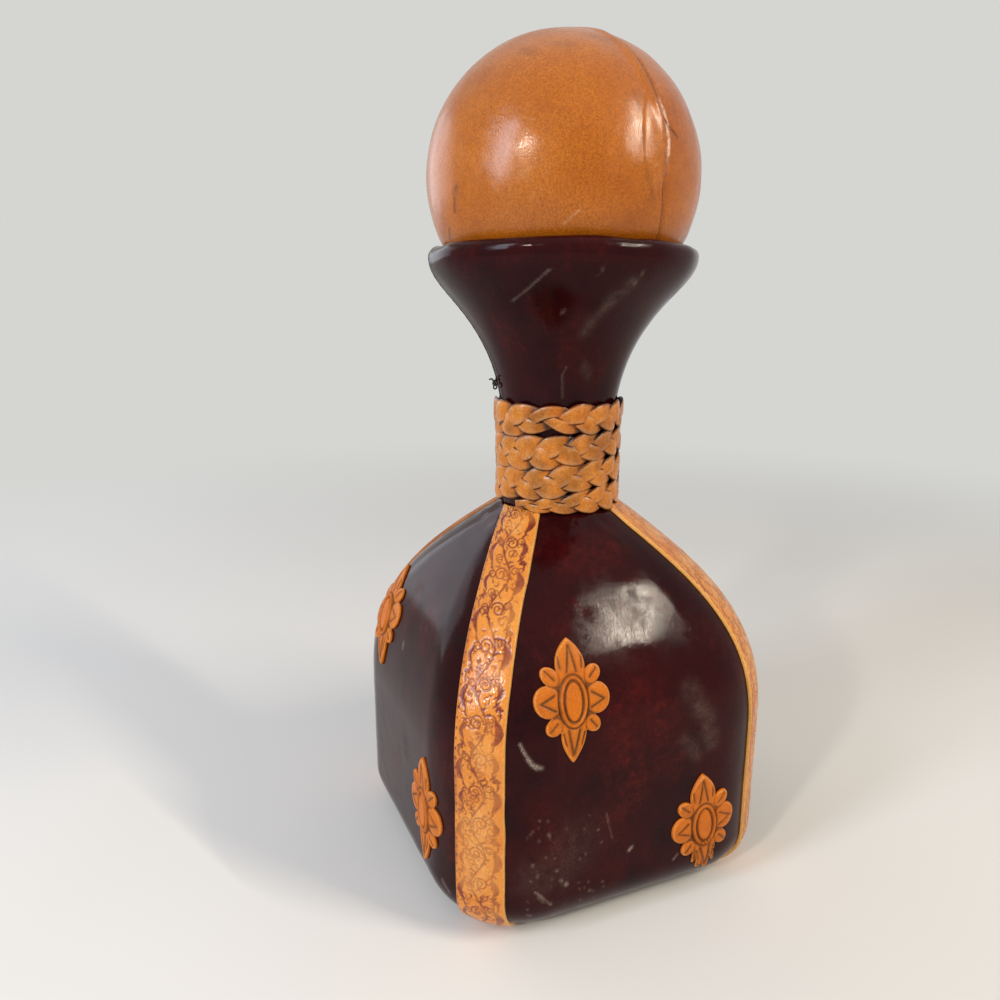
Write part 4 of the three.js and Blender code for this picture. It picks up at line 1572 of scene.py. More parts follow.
@dataclass
class Medallions:
    """The eight stamped medallions, two on each side."""

    form: BodyForm
    spokes: int = 264
    rings: int = 60
    ring_span: tuple[float, float] = (0.03, 0.95)
    rim_rings: tuple[float, ...] = (0.975, 0.99, 1.0)
    wall: float = 0.045
    wall_height: float = 0.1
    clean_rim: float = 0.07
    rim_stain: tuple[float, float] = (0.3, 1.0)
    rim_scuff: float = 0.6
    scuff_place: float = 0.55
    scuff_width: float = 0.35
    bed: float = 0.1 * MM
    sunk: float = 0.05 * MM
    upper: tuple[float, float] = (-26.5 * MM, 101.5 * MM)
    lower: tuple[float, float] = (30.0 * MM, 43.5 * MM)
    drift: dict[Side, tuple[tuple[float, float], tuple[float, float]]] = field(default_factory=lambda: {
        Side.FRONT: ((0.0, -1.0 * MM), (-1.3 * MM, -3.5 * MM)),
        Side.RIGHT: ((0.0, 0.5 * MM), (0.0, 0.5 * MM)),
        Side.BACK: ((0.0, -1.0 * MM), (-1.0 * MM, -1.5 * MM)),
        Side.LEFT: ((-2.0 * MM, 2.5 * MM), (0.8 * MM, 5.2 * MM)),
    })
    torn: tuple[Side, str] = (Side.FRONT, "lower")
    lean: dict[Side, tuple[float, float]] = field(default_factory=lambda: {
        Side.FRONT: (4.0, -5.0),
        Side.RIGHT: (3.0, -4.0),
        Side.BACK: (-4.0, 6.0),
        Side.LEFT: (-13.0, -1.0),
    })

    def build(self, workshop: Workshop) -> None:
        """Makes the medallions.

        Args:
            workshop: What turns drafts into pieces.
        """
        relief = StampRelief()
        for side in Side:
            places = zip(("upper", "lower"), (self.upper, self.lower), self.drift[side], self.lean[side])
            for level, place, drift, lean in places:
                node = f"medallion_{side.label}_{level}"
                torn = (side, level) == self.torn
                draft = self.stamp(relief, side, np.add(place, drift), math.radians(lean), torn)
                workshop.piece(draft, f"stamped_{node}", STAMPED_TAN, Body.BOTTLE, node)

    def stamp(self, relief: StampRelief, side: Side, place: Array, lean: float, torn: bool) -> Draft:
        """Draws one medallion, bent to the side that it is glued to.

        Args:
            relief: Its shape.
            side: Which side it is on.
            place: Its middle, across and along the side.
            lean: How far it leans to the right, in radians.
            torn: Whether its foot is frayed.

        Returns:
            The medallion's mesh.
        """
        angle = spread_round(self.spokes)
        reach = relief.outline(angle)
        if torn:
            reach = relief.frayed(angle, reach)
        share = np.r_[np.linspace(*self.ring_span, self.rings), self.rim_rings]
        flat = share[:, None, None] * (reach[:, None] * pointing(angle))
        height, stain = relief.heights(flat)
        wall = np.clip((1.0 - share) / self.wall, 0.0, 1.0)[:, None]
        height = height * np.sqrt(1.0 - (1.0 - wall) ** 2) + self.wall_height
        rim = np.clip((1.0 - share) / self.clean_rim, 0.0, 1.0)[:, None] + 0.0 * stain
        stain = stain * smooth_step(*self.rim_stain, rim)
        turned = np.array([[math.cos(lean), -math.sin(lean)], [math.sin(lean), math.cos(lean)]])
        spots = flat * MM @ turned + place
        top = self.form.place(side, spots[..., 0], spots[..., 1], self.bed + height * MM)
        middle_height, _ = relief.heights(np.zeros((1, 2)))
        heights = (self.bed + middle_height * MM, np.zeros(1))
        ends = np.vstack([self.form.place(side, place[:1], place[1:], lift) for lift in heights])
        base = self.form.place(side, spots[-1, :, 0], spots[-1, :, 1], -self.sunk)
        draft = capped(np.concatenate([top, base[None]]), ends)
        draft.faces = [face[::-1] for face in draft.faces]
        draft.values = {
            "stain": np.clip(stain, 0.0, 1.0).reshape(-1),
            "scuff": (self.rim_scuff * bell(rim - self.scuff_place, self.scuff_width)).reshape(-1),
        }
        return draft


@dataclass
class Plait:
    """The plait of three laces wound up the neck."""

    neck: NeckForm
    base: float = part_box("panel_front")[1][2]
    turns: float = 3.55
    waves: int = 17
    reach: float = 40.4 * MM
    swing: float = 3.0 * MM
    lace: float = 5.9 * MM
    overlap: float = 1.32
    rise: float = 0.62 * MM
    tail: float = 0.34
    lead_in: float = 0.3
    run_out: float = 0.25
    fade: float = 0.15
    climb_start: float = 0.84
    tuck: float = 1.6 * MM
    tuck_reach: float = 0.09
    start: float = math.radians(198.0)
    thickness: float = 1.6 * MM
    slack_turn: float = 3.1
    slack_reach: float = 0.42
    slack: float = 0.42
    slack_lift: float = 1.1 * MM
    per_wave: int = 36
    sides: int = 24
    uneven_weave: float = 0.35
    weave_step: float = 10.0 * MM
    weave_size: float = 8.0 * MM
    uneven_width: float = 0.22
    uneven_size: float = 7.0 * MM
    rough: float = 0.16 * MM
    rough_size: float = 3.4 * MM
    flat_across: float = 0.75
    flat_through: float = 0.8
    least_width: float = 0.78
    width_gain: float = 0.3
    least_thick: float = 0.7
    thick_gain: float = 0.4
    # Painted shade where a lace dips under the others, and along the laces' sides and undersides.
    dip_shade_range: tuple[float, float] = (0.32, 0.0)
    dip_shade: float = 0.9
    edge_shade_range: tuple[float, float] = (0.84, 0.42)
    grime: float = 0.36
    grime_size: float = 9.0 * MM
    grime_range: tuple[float, float] = (0.0, 0.55)
    rub: float = 0.6
    rub_range: tuple[float, float] = (0.5, 1.0)
    scuff: float = 0.45
    scuff_place: float = 0.8
    scuff_width: float = 0.1

    @property
    def end(self) -> float:
        """How far the plait turns from its lower end to its upper one."""
        return self.turns * TURN

    @property
    def full(self) -> float:
        """The plait's full width."""
        return 2.0 * self.swing + self.lace

    def share(self, turn: Array) -> Array:
        """The plait's width at a turn, as a share of its full width.

        Args:
            turn: How far round, in radians from the plait's lower end.

        Returns:
            The share, which is 0 beyond the plait's end.
        """
        grown = np.minimum(turn / self.lead_in, (self.end - turn) / self.run_out) / TURN
        width = self.tail + (1.0 - self.tail) * smooth_step(0.0, 1.0, grown)
        return width * smooth_step(self.end + self.fade * TURN, self.end, turn)

    def climb(self, lap: Array) -> Array:
        """How far the lowest turn has climbed over the plait's lower end, from 0 to 1."""
        return smooth_step(self.climb_start * TURN, TURN, lap)

    def pressed(self, lap: Array) -> Array:
        """How much the turns are pressed together at a place round the neck, so that the top is level.

        Args:
            lap: The place, in radians from the plait's lower end and less than a turn.

        Returns:
            What the plait's full width is multiplied by there.
        """
        laps = np.arange(math.ceil(self.turns)) * TURN
        first = self.reach / np.sum(self.share(laps))
        left = self.reach - self.climb(lap) * self.share(np.zeros(1)) * first
        return left / np.sum(self.share(lap + laps[:, None]), axis=0) / self.full

    def height(self, turn: Array) -> Array:
        """The height of the plait's middle, each turn lying on the one below.

        Args:
            turn: How far round, in radians from the plait's lower end.

        Returns:
            The heights.
        """
        lap = turn % TURN
        width = self.full * self.pressed(lap)
        first = self.full * self.pressed(np.zeros(1)) * self.share(np.zeros(1))
        total = self.base + first * self.climb(lap) + width * self.share(turn) / 2
        for number in range(math.ceil(self.turns)):
            below = width * self.share(lap + number * TURN)
            total = total + np.where(turn >= (number + 1) * TURN, below, 0.0)
        return total

    def weave(self, turn: Array, phase: float) -> Array:
        """Where a lace is in its weave, a little ahead or behind as in handwork.

        Args:
            turn: How far round, in radians from the plait's lower end.
            phase: The lace's place in the weave.

        Returns:
            The weave's own angle at each turn, in radians.
        """
        spot = np.stack([turn * self.weave_step, 0.0 * turn, 0.0 * turn + phase], axis=-1)
        even = turn / self.end * self.waves * TURN + phase
        return even + self.uneven_weave * HIDE_NOISE.at(spot, self.weave_size)

    def loose(self, turn: Array) -> Array:
        """How slack the plait is at a turn, from 0 to 1."""
        return bell(turn - self.slack_turn * TURN, self.slack_reach)

    def path(self, turn: Array, phase: float) -> Array:
        """Points along the middle of one lace.

        Args:
            turn: How far round, in radians from the plait's lower end.
            phase: The lace's place in the weave.

        Returns:
            The points, one to a row.
        """
        weave = self.weave(turn, phase)
        width = self.share(turn) * self.pressed(turn % TURN)
        height = self.height(turn) + width * self.swing * np.sin(weave) + self.slack_lift * self.loose(turn)
        radius = self.neck.radius_at(height + width * self.lace / 2) + self.thickness / 2 + self.rise
        radius = radius + self.rise * np.sin(2 * weave)
        to_end = np.minimum(turn, self.end - turn)
        radius = radius - self.tuck * smooth_step(self.tuck_reach, 0.0, to_end)
        return round_axis(radius, height, self.start + turn)

    def build(self, workshop: Workshop) -> None:
        """Makes the three laces.

        Args:
            workshop: What turns drafts into pieces.
        """
        for number in (1, 2, 3):
            draft = self.lace_draft(number)
            workshop.piece(draft, f"plaited_lace_{number}", LACE_TAN, Body.BOTTLE, f"plait_lace_{number}")

    def lace_draft(self, number: int) -> Draft:
        """Draws one lace: flat, plump where it rides over and drawn in where it dips under.

        Args:
            number: Which lace, from 1.

        Returns:
            The lace's mesh.
        """
        phase = number * TURN / 3
        turn = np.linspace(0.0, self.end, self.waves * self.per_wave + 1)
        nudge = self.end / self.waves / 200
        behind, ahead = np.maximum(turn - nudge, 0.0), np.minimum(turn + nudge, self.end)
        run = unit(self.path(ahead, phase) - self.path(behind, phase))
        across = unit(np.cross(round_axis(1.0, 0.0, self.start + turn), run))
        up = np.cross(run, across)
        middle = self.path(turn, phase)
        over = 0.5 + 0.5 * np.sin(2 * self.weave(turn, phase))
        uneven = 1.0 + self.uneven_width * HIDE_NOISE.at(middle + number, self.uneven_size)
        share = self.share(turn) * self.pressed(turn % TURN)
        wide = self.overlap * share * self.lace / 2 * (self.least_width + self.width_gain * over) * uneven
        wide *= 1.0 - self.slack * self.loose(turn)
        thick = self.thickness / 2 * (self.least_thick + self.thick_gain * over)
        thick *= 0.5 + 0.5 * np.minimum(share, 1.0)
        angle = spread_round(self.sides)
        flat_x = np.sign(np.cos(angle)) * np.abs(np.cos(angle)) ** self.flat_across
        flat_y = np.sign(np.sin(angle)) * np.abs(np.sin(angle)) ** self.flat_through
        sections = middle[:, None] + (wide[:, None] * flat_x)[..., None] * across[:, None]
        sections = sections + (thick[:, None] * flat_y)[..., None] * up[:, None]
        rough = self.rough * HIDE_NOISE.layered(sections, self.rough_size)
        sections = sections + rough[..., None] * up[:, None]
        # Painted shade: darker where the lace dips under, and on its sides and underside; the grime patches
        # are real dirt.
        dip_shade_mask = smooth_step(*self.dip_shade_range, over)[:, None]
        edge = smooth_step(*self.edge_shade_range, flat_y)
        patches = smooth_step(*self.grime_range, WEAR_NOISE.layered(sections + 7.0, self.grime_size))
        values = {
            "stain": np.clip(np.maximum(self.dip_shade * dip_shade_mask, edge) + self.grime * patches, 0.0, 1.0),
            "rub": self.rub * over[:, None] * smooth_step(*self.rub_range, flat_y),
            "scuff": self.scuff * over[:, None] * bell(flat_y - self.scuff_place, self.scuff_width),
        }
        draft = swept(sections)
        draft.values = {kind: value.reshape(-1) for kind, value in values.items()}
        return draft


@dataclass
class NeckSleeve:
    """The dark sheet sewn round the neck and flare and turned over the lip, with its stitches."""

    neck: NeckForm
    thickness: float = 1.2 * MM
    seam_direction: float = math.radians(165.0)
    slit: float = 0.7 * MM
    turn_in: float = 5.0 * MM
    rows: int = 200
    columns: int = 260
    under_step: int = 10
    outside: float = 0.84
    unrolled: float = 44.0
    ripple: float = 0.35 * MM
    ripple_size: float = 12.0 * MM
    ripple_radius: float = 50.0 * MM
    ripple_from: float = 16.0 * MM
    ripple_to: float = 2.0 * MM
    seam_dip: float = 0.5 * MM
    seam_width: float = 0.9 * MM
    welt: float = 0.25 * MM
    welt_place: float = 2.6 * MM
    welt_width: float = 1.6 * MM
    seam_stain: float = 0.8
    stain_width: float = 1.2 * MM
    thread: float = 0.3 * MM
    thread_twist: tuple[float, float, float] = (0.31, 0.17, 0.93)
    thread_sides: int = 8
    thread_points: int = 900
    stitch: float = 4.2 * MM
    stitch_points: int = 6
    stitch_reach: float = 1.5 * MM
    stitch_sunk: float = 0.1 * MM
    stitch_arch: float = 0.15 * MM
    stitched: float = 0.98
    outline_points: int = 600
    outline_top: int = 560
    knot: float = 0.9 * MM
    knot_drop: float = 3.6 * MM
    knot_points: int = 90
    tail: tuple[tuple[float, float], ...] = ((2.4 * MM, 1.6 * MM), (1.2 * MM, 1.9 * MM))

    MARKS = (
        Mark(((219, 223.4), (224, 225.3), (229.5, 228), (234, 230.6), (238.5, 233.6)), 0.32, 0.42),
        Mark(((273, 229), (268, 224), (262, 218), (258, 213)), 2.6, 0.12),
        Mark(((277, 234), (274.5, 228)), 0.35, 0.25),
        Mark(((259.3, 235.4), (257.6, 231.7)), 0.3, 0.25),
        Mark(((248, 200), (245.5, 197.5), (246, 189)), 0.45, 0.26),
        Mark(((262, 200), (268, 197)), 2.2, 0.08),
        Mark(((244, 219.4), (244.3, 220.4)), 0.45, 0.5),
        Mark(((214, 239), (240, 238.5), (262, 239), (285, 240)), 4.0, 0.12, "rub"),
        Mark(((250, 215), (247, 200)), 7.0, 0.3, "rub"),
        Mark(((120, 226), (100, 214)), 2.0, 0.25),
        Mark(((40, 232), (30, 220)), 5.0, 0.5, "rub"),
    )

    def build(self, workshop: Workshop) -> None:
        """Makes the sleeve and its thread.

        Args:
            workshop: What turns drafts into pieces.
        """
        workshop.piece(self.sheet(), "neck_leather_sleeve", OXBLOOD, Body.BOTTLE, "neck_sleeve")
        workshop.piece(self.stitches(), "sleeve_stitching", THREAD, Body.BOTTLE, "sleeve_thread")

    def sheet(self) -> Draft:
        """Draws the leather.

        Returns:
            The sleeve's mesh.
        """
        outer = even_points(self.neck.section(self.neck.lip, self.turn_in), self.rows)
        inner = even_points(self.neck.section(self.neck.lip - self.thickness, self.turn_in), self.rows)
        share = np.linspace(0.0, 1.0, self.columns)
        slit = self.slit / outer[:, :1]
        angle = self.seam_direction + slit + share * (TURN - 2 * slit)
        run = unit(np.gradient(outer, axis=0))
        plain = round_axis(outer[:, :1], outer[:, 1:], angle)
        below_rim = np.abs(self.neck.rim_top - outer[:, 1:])
        near_rim = smooth_step(self.ripple_from, self.ripple_to, below_rim)
        ripple = HIDE_NOISE.at(round_axis(1.0, 0.0, angle) * self.ripple_radius, self.ripple_size)
        to_seam = np.minimum(share, 1.0 - share) * TURN * outer[:, :1]
        lift = hide_sway(plain) + self.ripple * near_rim * ripple
        lift -= self.seam_dip * bell(to_seam, self.seam_width)
        lift += self.welt * bell(to_seam - self.welt_place, self.welt_width)
        top = round_axis(outer[:, :1] + lift * run[:, 1:], outer[:, 1:] - lift * run[:, :1], angle)
        under = round_axis(inner[:, :1], inner[:, 1:], angle)
        scaled = [
            replace(mark, line=tuple((math.radians(place) * self.unrolled, z) for place, z in mark.line))
            for mark in self.MARKS
        ]
        flat = np.stack([(angle % TURN) * self.unrolled, outer[:, 1:] / MM + 0.0 * angle], axis=-1)
        outside = (np.arange(self.rows) < self.rows * self.outside)[:, None]
        values = {kind: value * outside for kind, value in paint_marks(scaled, flat, plain).items()}
        seam_stain = self.seam_stain * bell(to_seam, self.stain_width)
        values["stain"] = np.maximum(values["stain"], seam_stain)
        return closed_sheet(self.neck.settled(top), self.neck.settled(under), self.under_step, values)

    def stitches(self) -> Draft:
        """Draws the thread: stitches across the seam up to the lip, and a knot with a tail at the foot.

        Returns:
            The thread's mesh.
        """
        outer = even_points(self.neck.section(self.neck.lip, 0.0), self.outline_points)
        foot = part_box("sleeve_thread")[0][2] + 2.0 * self.knot
        outer = outer[(outer[:, 1] > foot) & (np.arange(self.outline_points) < self.outline_top)]
        along = lengths_along(outer)
        count = int(along[-1] / (self.stitch / 2)) * self.stitch_points
        places = np.linspace(0.0, along[-1] * self.stitched, count + 1)
        beat = np.arange(len(places)) / self.stitch_points
        swing = np.abs((beat % 2.0) - 1.0) * 2.0 - 1.0
        arch = self.stitch_arch * np.cos(swing * math.pi / 2)
        radius = np.interp(places, along, outer[:, 0]) - self.stitch_sunk + arch
        height = np.interp(places, along, outer[:, 1])
        angle = self.seam_direction + self.stitch_reach * swing / radius
        stitched = self.neck.settled(round_axis(radius, height, angle))
        path = even_points(np.vstack([self.knot_path(stitched[0]), stitched]), self.thread_points)
        run = unit(np.gradient(path, axis=0))
        side = unit(np.cross(run, self.thread_twist))
        other = np.cross(run, side)
        ring = spread_round(self.thread_sides)[None, :, None]
        section = np.cos(ring) * side[:, None] + np.sin(ring) * other[:, None]
        return swept(path[:, None] + self.thread * section)

    def knot_path(self, start: Array) -> Array:
        """The thread's loose end, wound into a small knot where the stitches begin.

        Args:
            start: Where the first stitch begins.

        Returns:
            Points from the tail's tip through the knot.
        """
        out = np.array([math.cos(self.seam_direction), math.sin(self.seam_direction), 0.0])
        beside = np.array([-out[1], out[0], 0.0])
        up = np.array([0.0, 0.0, 1.0])
        middle = start + out * 0.6 * self.knot - up * self.knot_drop
        tail = [middle + out * away + up * above for away, above in self.tail]
        turn = np.linspace(0.0, TURN, self.knot_points)[:, None]
        wide = np.sin(turn) + 2.0 * np.sin(2.0 * turn)
        tall = np.cos(turn) - 2.0 * np.cos(2.0 * turn)
        loops = 0.6 * wide * beside + 0.75 * tall * up - 0.8 * np.sin(3.0 * turn) * out
        return np.vstack([tail, middle + self.knot * loops])


@dataclass
class StopperCover:
    """The ball's leather in two halves, with an overlapped seam, a dart and old scratches."""

    radius: float = 50.0 * MM
    height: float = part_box("stopper_cover_left")[1][2] - 50.0 * MM
    thickness: float = 1.2 * MM
    hole: float = 18.6 * MM
    back_seam: float = 106.6
    front_seam: tuple[tuple[float, float], ...] = (
        (-90.0, 291.0), (-24.2, 288.5), (-6.9, 284.0), (3.4, 285.0),
        (10.0, 285.8), (17.7, 284.7), (28.1, 283.2), (90.0, 282.0),
    )
    rows: int = 240
    columns: int = 240
    under_step: int = 10
    highest: float = 89.7
    crowded: float = 0.45
    swell: float = 0.22 * MM
    swell_size: float = 20.0 * MM
    dimple: float = 0.06 * MM
    dimple_size: float = 5.0 * MM
    stain_depth: float = 0.45 * MM
    stain_reach: float = 30.0 * MM
    stain_least: float = 0.35
    seam_depth: float = 0.55 * MM
    seam_width: float = 1.3 * MM
    back_width: float = 0.8 * MM
    back_stain: float = 0.7
    back_stain_width: float = 0.6 * MM
    shade: float = 0.45
    shade_width: float = 1.6 * MM
    lens_middle: tuple[float, float] = (279.5, 7.0)
    lens_half: tuple[float, float] = (6.6, 20.0)
    lens_rise: float = 0.5 * MM
    ridge_rise: float = 0.7 * MM
    ridge_place: float = 1.6 * MM
    ridge_width: float = 1.8 * MM
    lap_depth: float = 0.6 * MM
    lap_width: float = 0.5 * MM

    MARKS = (
        Mark(((243.3, -21.5), (246, -19), (249.0, -16.7)), 0.3, 0.6),
        Mark(((226, 16), (232, 15)), 0.3, 0.2),
        Mark(((219.7, 46.9), (226, 45.5)), 2.4, 0.3, "stain"),
        Mark(((236, 50), (246, 48.7)), 2.6, 0.22, "stain"),
        Mark(((262, 57.7), (276, 54)), 3.0, 0.3, "stain"),
        Mark(((195.5, -9.9), (193.6, -15.5)), 0.4, 0.95, "stain"),
        Mark(((197.5, -6.0), (196.0, -8.6)), 1.2, 0.45, "stain"),
        Mark(((185.8, -21.0), (182.0, -25.5)), 0.4, 0.7, "stain"),
        Mark(((283.8, 18.3), (287.3, 14.8), (292.0, 11.2)), 0.42, 1.0, "stain"),
        Mark(((272, 27), (273.4, 17.9), (273.1, 7), (275.1, -2.7), (279.3, -11.5)), 0.8, 0.28, "stain"),
        # Partly real rubbing and partly a painted highlight on the bulge beside the front seam.
        Mark(((278.6, 17), (279.6, 7), (279.8, -4)), 4.0, 0.75, "rub"),
        Mark(((212, 5), (225, -3)), 14.0, 0.5, "rub"),
        Mark(((215, 44), (246, 52)), 12.0, 0.4, "rub"),
        Mark(((120, 20), (60, 0)), 12.0, 0.5, "rub"),
    )

    def seam_at(self, elevation: Array) -> Array:
        """The direction of the front seam at some elevations, in degrees."""
        places, directions = np.array(self.front_seam).T
        return np.interp(elevation, places, directions)

    def build(self, workshop: Workshop) -> None:
        """Makes both halves.

        Args:
            workshop: What turns drafts into pieces.
        """
        for name in ("left", "right"):
            node = f"stopper_cover_{name}"
            workshop.piece(self.half(name == "left"), f"leather_{node}", BALL_TAN, Body.STOPPER, node)

    def half(self, left: bool) -> Draft:
        """Draws one half of the cover.

        Args:
            left: Whether it is the half to the left of the front seam, which laps over the other.

        Returns:
            The half's mesh.
        """
        lowest = -math.degrees(math.acos(self.hole / self.radius))
        elevation = np.linspace(lowest, self.highest, self.rows)[:, None]
        even = np.linspace(0.0, 1.0, self.columns)
        share = even + self.crowded * (0.5 - 0.5 * np.cos(math.pi * even) - even)
        front = self.seam_at(elevation)
        back = self.back_seam if left else self.back_seam + 360.0
        start, end = (back, front) if left else (front, back)
        direction = start + share * (end - start)
        elevation = elevation + 0.0 * direction
        level, upright = np.cos(np.radians(elevation)), np.sin(np.radians(elevation))
        arc = self.radius * level * math.pi / 180.0
        from_front = arc * np.abs(direction - front)
        from_back = arc * np.abs(direction - back)
        ray = round_axis(level, upright, np.radians(direction))
        ball = ray * self.radius
        values = self.paint(elevation, direction % 360.0, ball)
        lift = self.swell * HIDE_NOISE.layered(ball, self.swell_size)
        lift += self.dimple * HIDE_NOISE.at(ball + 2.0, self.dimple_size)
        dents = np.clip(values["stain"] - self.stain_least, 0.0, 1.0) * (from_front < self.stain_reach)
        lift -= self.stain_depth * dents
        lift -= self.seam_depth * bell(from_back, self.back_width)
        if left:
            across = (direction - self.lens_middle[0]) / self.lens_half[0]
            rise = (elevation - self.lens_middle[1]) / self.lens_half[1]
            lens = np.clip(1.0 - across**2 - rise**2, 0.0, 1.0)
            lift += self.lens_rise * np.sqrt(lens) * smooth_step(0.0, 0.3, lens)
            ridge = smooth_step(0.0, 24.0, elevation) * smooth_step(84.0, 62.0, elevation)
            lift += self.ridge_rise * bell(from_front - self.ridge_place, self.ridge_width) * ridge
            lift -= self.lap_depth * bell(from_front, self.lap_width)
        else:
            lift -= self.seam_depth * bell(from_front, self.seam_width)
        fold = (0.22 + 0.6 * smooth_step(4.0, 16.0, elevation)) * bell(from_front, self.lap_width)
        # Painted shadow of the overlapping flap: a dark band beside the front seam on the upper ball,
        # joined to the stain value.
        shade = self.shade * bell(from_front, self.shade_width) * smooth_step(14.0, 34.0, elevation)
        for stain in (fold, shade, self.back_stain * bell(from_back, self.back_stain_width)):
            values["stain"] = np.maximum(values["stain"], stain)
        middle = np.array([0.0, 0.0, self.height])
        top = middle + ray * (self.radius + lift)[..., None]
        under = middle + ray * (self.radius - self.thickness)
        return closed_sheet(top, under, self.under_step, values)

    def paint(self, elevation: Array, direction: Array, ball: Array) -> dict[str, Array]:
        """Works out the marks on the ball from their directions and elevations.

        Args:
            elevation: Degrees above the ball's middle.
            direction: Degrees round the upright axis.
            ball: The same points in space, about the ball's middle.

        Returns:
            A value from 0 to 1 for each kind of mark.
        """
        shrink = np.cos(np.radians(elevation))
        scale = self.radius / MM * math.pi / 180.0
        values: dict[str, Array] = {}
        for mark in self.MARKS:
            places, heights = np.array(mark.line).T
            middle = np.mean(places)
            local = np.stack([(direction - middle) * shrink * scale, elevation * scale], axis=-1)
            line = np.c_[(places - middle) * np.cos(np.radians(heights)), heights] * scale
            for kind, value in paint_marks([replace(mark, line=line)], local, ball).items():
                values[kind] = np.maximum(values.get(kind, 0.0), value)
        return values


@dataclass
class StopperInside:
    """The cork that plugs the neck, under the wooden ball and its dowel."""

    foot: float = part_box("stopper_cork")[0][2]
    head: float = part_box("stopper_cork")[1][2]
    wide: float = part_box("stopper_cork")[1][0]
    taper: float = 0.05
    chamfer: float = 1.2 * MM
    chamfer_points: int = 8
    flat_points: int = 12
    pit_depth: float = 0.45 * MM
    pit_size: float = 3.2 * MM
    columns: int = 96
    rows: int = 120

    def build(self, workshop: Workshop) -> None:
        """Makes the cork and finishes the hidden wood.

        Args:
            workshop: What turns drafts into pieces.
        """
        narrow = self.wide - self.taper * (self.head - self.foot)
        corner = np.linspace(-math.pi / 2, 0.0, self.chamfer_points)
        edge = np.array([narrow, self.foot]) + self.chamfer * (pointing(corner) + (-1.0, 1.0))
        rise = np.linspace((narrow, self.foot + self.chamfer), (self.wide, self.head), self.rows)
        flat_foot = np.linspace((0.0, self.foot), edge[0], self.flat_points)[1:-1]
        flat_head = np.linspace((self.wide, self.head), (0.0, self.head), self.flat_points)[1:-1]
        section = np.vstack([flat_foot, edge, rise[1:], flat_head])
        angle = spread_round(self.columns)
        ends = np.array([(0.0, 0.0, self.foot), (0.0, 0.0, self.head)])
        draft = capped(round_axis(section[:, :1], section[:, 1:], angle), ends)
        pits = smooth_step(0.25, 0.75, HIDE_NOISE.layered(draft.points, self.pit_size))
        away = np.clip(np.hypot(draft.points[:, 0], draft.points[:, 1]), 1e-6, None)
        draft.points[:, :2] *= (1.0 - self.pit_depth * pits / away)[:, None]
        workshop.piece(draft, "tapered_cork", CORK, Body.STOPPER, "stopper_cork")
        for node in ("stopper_ball", "stopper_dowel"):
            workshop.dress(node, WOOD)


@dataclass
class GlassBottle:
    """The glass inside the leather: body, neck, flare and lip."""

    form: BodyForm
    neck: NeckForm
    wall: float = 4.0 * MM
    wrap: float = 1.5 * MM
    columns: int = 128
    rows: int = 60
    neck_rows: int = 220
    inner_reach: float = 200.0 * MM
    first_corner: float = -0.75 * math.pi

    def build(self, workshop: Workshop) -> None:
        """Makes the bottle.

        Args:
            workshop: What turns drafts into pieces.
        """
        half = self.wall / 2
        section = even_points(self.neck.section(half, self.inner_reach), self.neck_rows)
        rise = np.linspace(0.0, self.form.length, self.rows)
        outside = [self.body_ring(along, -self.wrap) for along in rise]
        inside = [self.body_ring(along, -self.wrap - self.wall) for along in rise[::-1]]
        angle = self.first_corner + spread_round(self.columns)
        bore = (self.neck.line_radius - half, self.neck.base)
        neck = [self.neck.settled(round_axis(radius, height, angle)) for radius, height in (*section, bore)]
        draft = swept(np.array([*outside, *neck, *inside]))
        workshop.piece(draft, "blown_glass_bottle", GlassFinish(), Body.BOTTLE, "glass_bottle")

    def body_ring(self, along: float, lift: float) -> Array:
        """One level of the square body, evenly spread from the left corner of the front.

        Args:
            along: Distance up the side's outline.
            lift: Distance out from the leather's surface.

        Returns:
            The ring's points.
        """
        per_side = self.columns // 4
        half = self.form.side_half(np.array([along]))
        across = np.linspace(-1.0, 1.0, per_side + 1)[:-1] * half
        level, out = np.full(per_side, along), np.full(per_side, lift)
        return np.vstack([self.form.place(side, across, level, out) for side in Side])


@dataclass
class Sole:
    """The leather sole under the base."""

    corner: float = 17.0 * MM
    edge: float = 0.8 * MM
    edge_points: int = 6
    under_rings: int = 16
    upper_rings: int = 12
    innermost: float = 0.1
    outermost: float = 0.95
    steps: int = 400
    farthest: float = 1.5
    rub_size: float = 20.0 * MM
    columns: int = 160
    first_direction: float = TURN / 16

    def build(self, workshop: Workshop) -> None:
        """Makes the sole.

        Args:
            workshop: What turns drafts into pieces.
        """
        half, _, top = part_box("base_sole")[1]
        angle = spread_round(self.columns) + self.first_direction
        turn = np.linspace(0.0, math.pi / 2, self.edge_points)
        closing, opening = self.edge * (1 - np.sin(turn)), self.edge * (1 - np.cos(turn))
        under = half * np.linspace(self.innermost, self.outermost, self.under_rings)
        upper = half * np.linspace(self.outermost, self.innermost, self.upper_rings)
        levels = np.vstack([
            np.c_[under, 0.0 * under],
            np.c_[half - closing, opening],
            (half, top - self.edge),
            np.c_[half - opening, top - closing],
            np.c_[upper, 0.0 * upper + top],
        ])
        draft = swept(np.array([self.ring(reach, height, angle, half) for reach, height in levels]))
        draft.values["rub"] = smooth_step(0.0, 0.6, WEAR_NOISE.layered(draft.points, self.rub_size))
        workshop.piece(draft, "leather_base_sole", SOLE_BROWN, Body.BOTTLE, "base_sole")

    def ring(self, reach: float, height: float, angle: Array, half: float) -> Array:
        """A rounded square.

        Args:
            reach: Half its width.
            height: Its height.
            angle: Directions of its points.
            half: Half the sole's width.

        Returns:
            The ring's points.
        """
        corner = self.corner * reach / half
        flat = reach - corner
        steps = np.linspace(0.0, self.farthest, self.steps) * reach
        spots = np.abs(pointing(angle)[:, None, :] * steps[None, :, None])
        outside = np.maximum(spots - flat, 0.0)
        inside = np.hypot(outside[..., 0], outside[..., 1]) <= corner
        return round_axis(last_reach(inside, steps), height, angle)


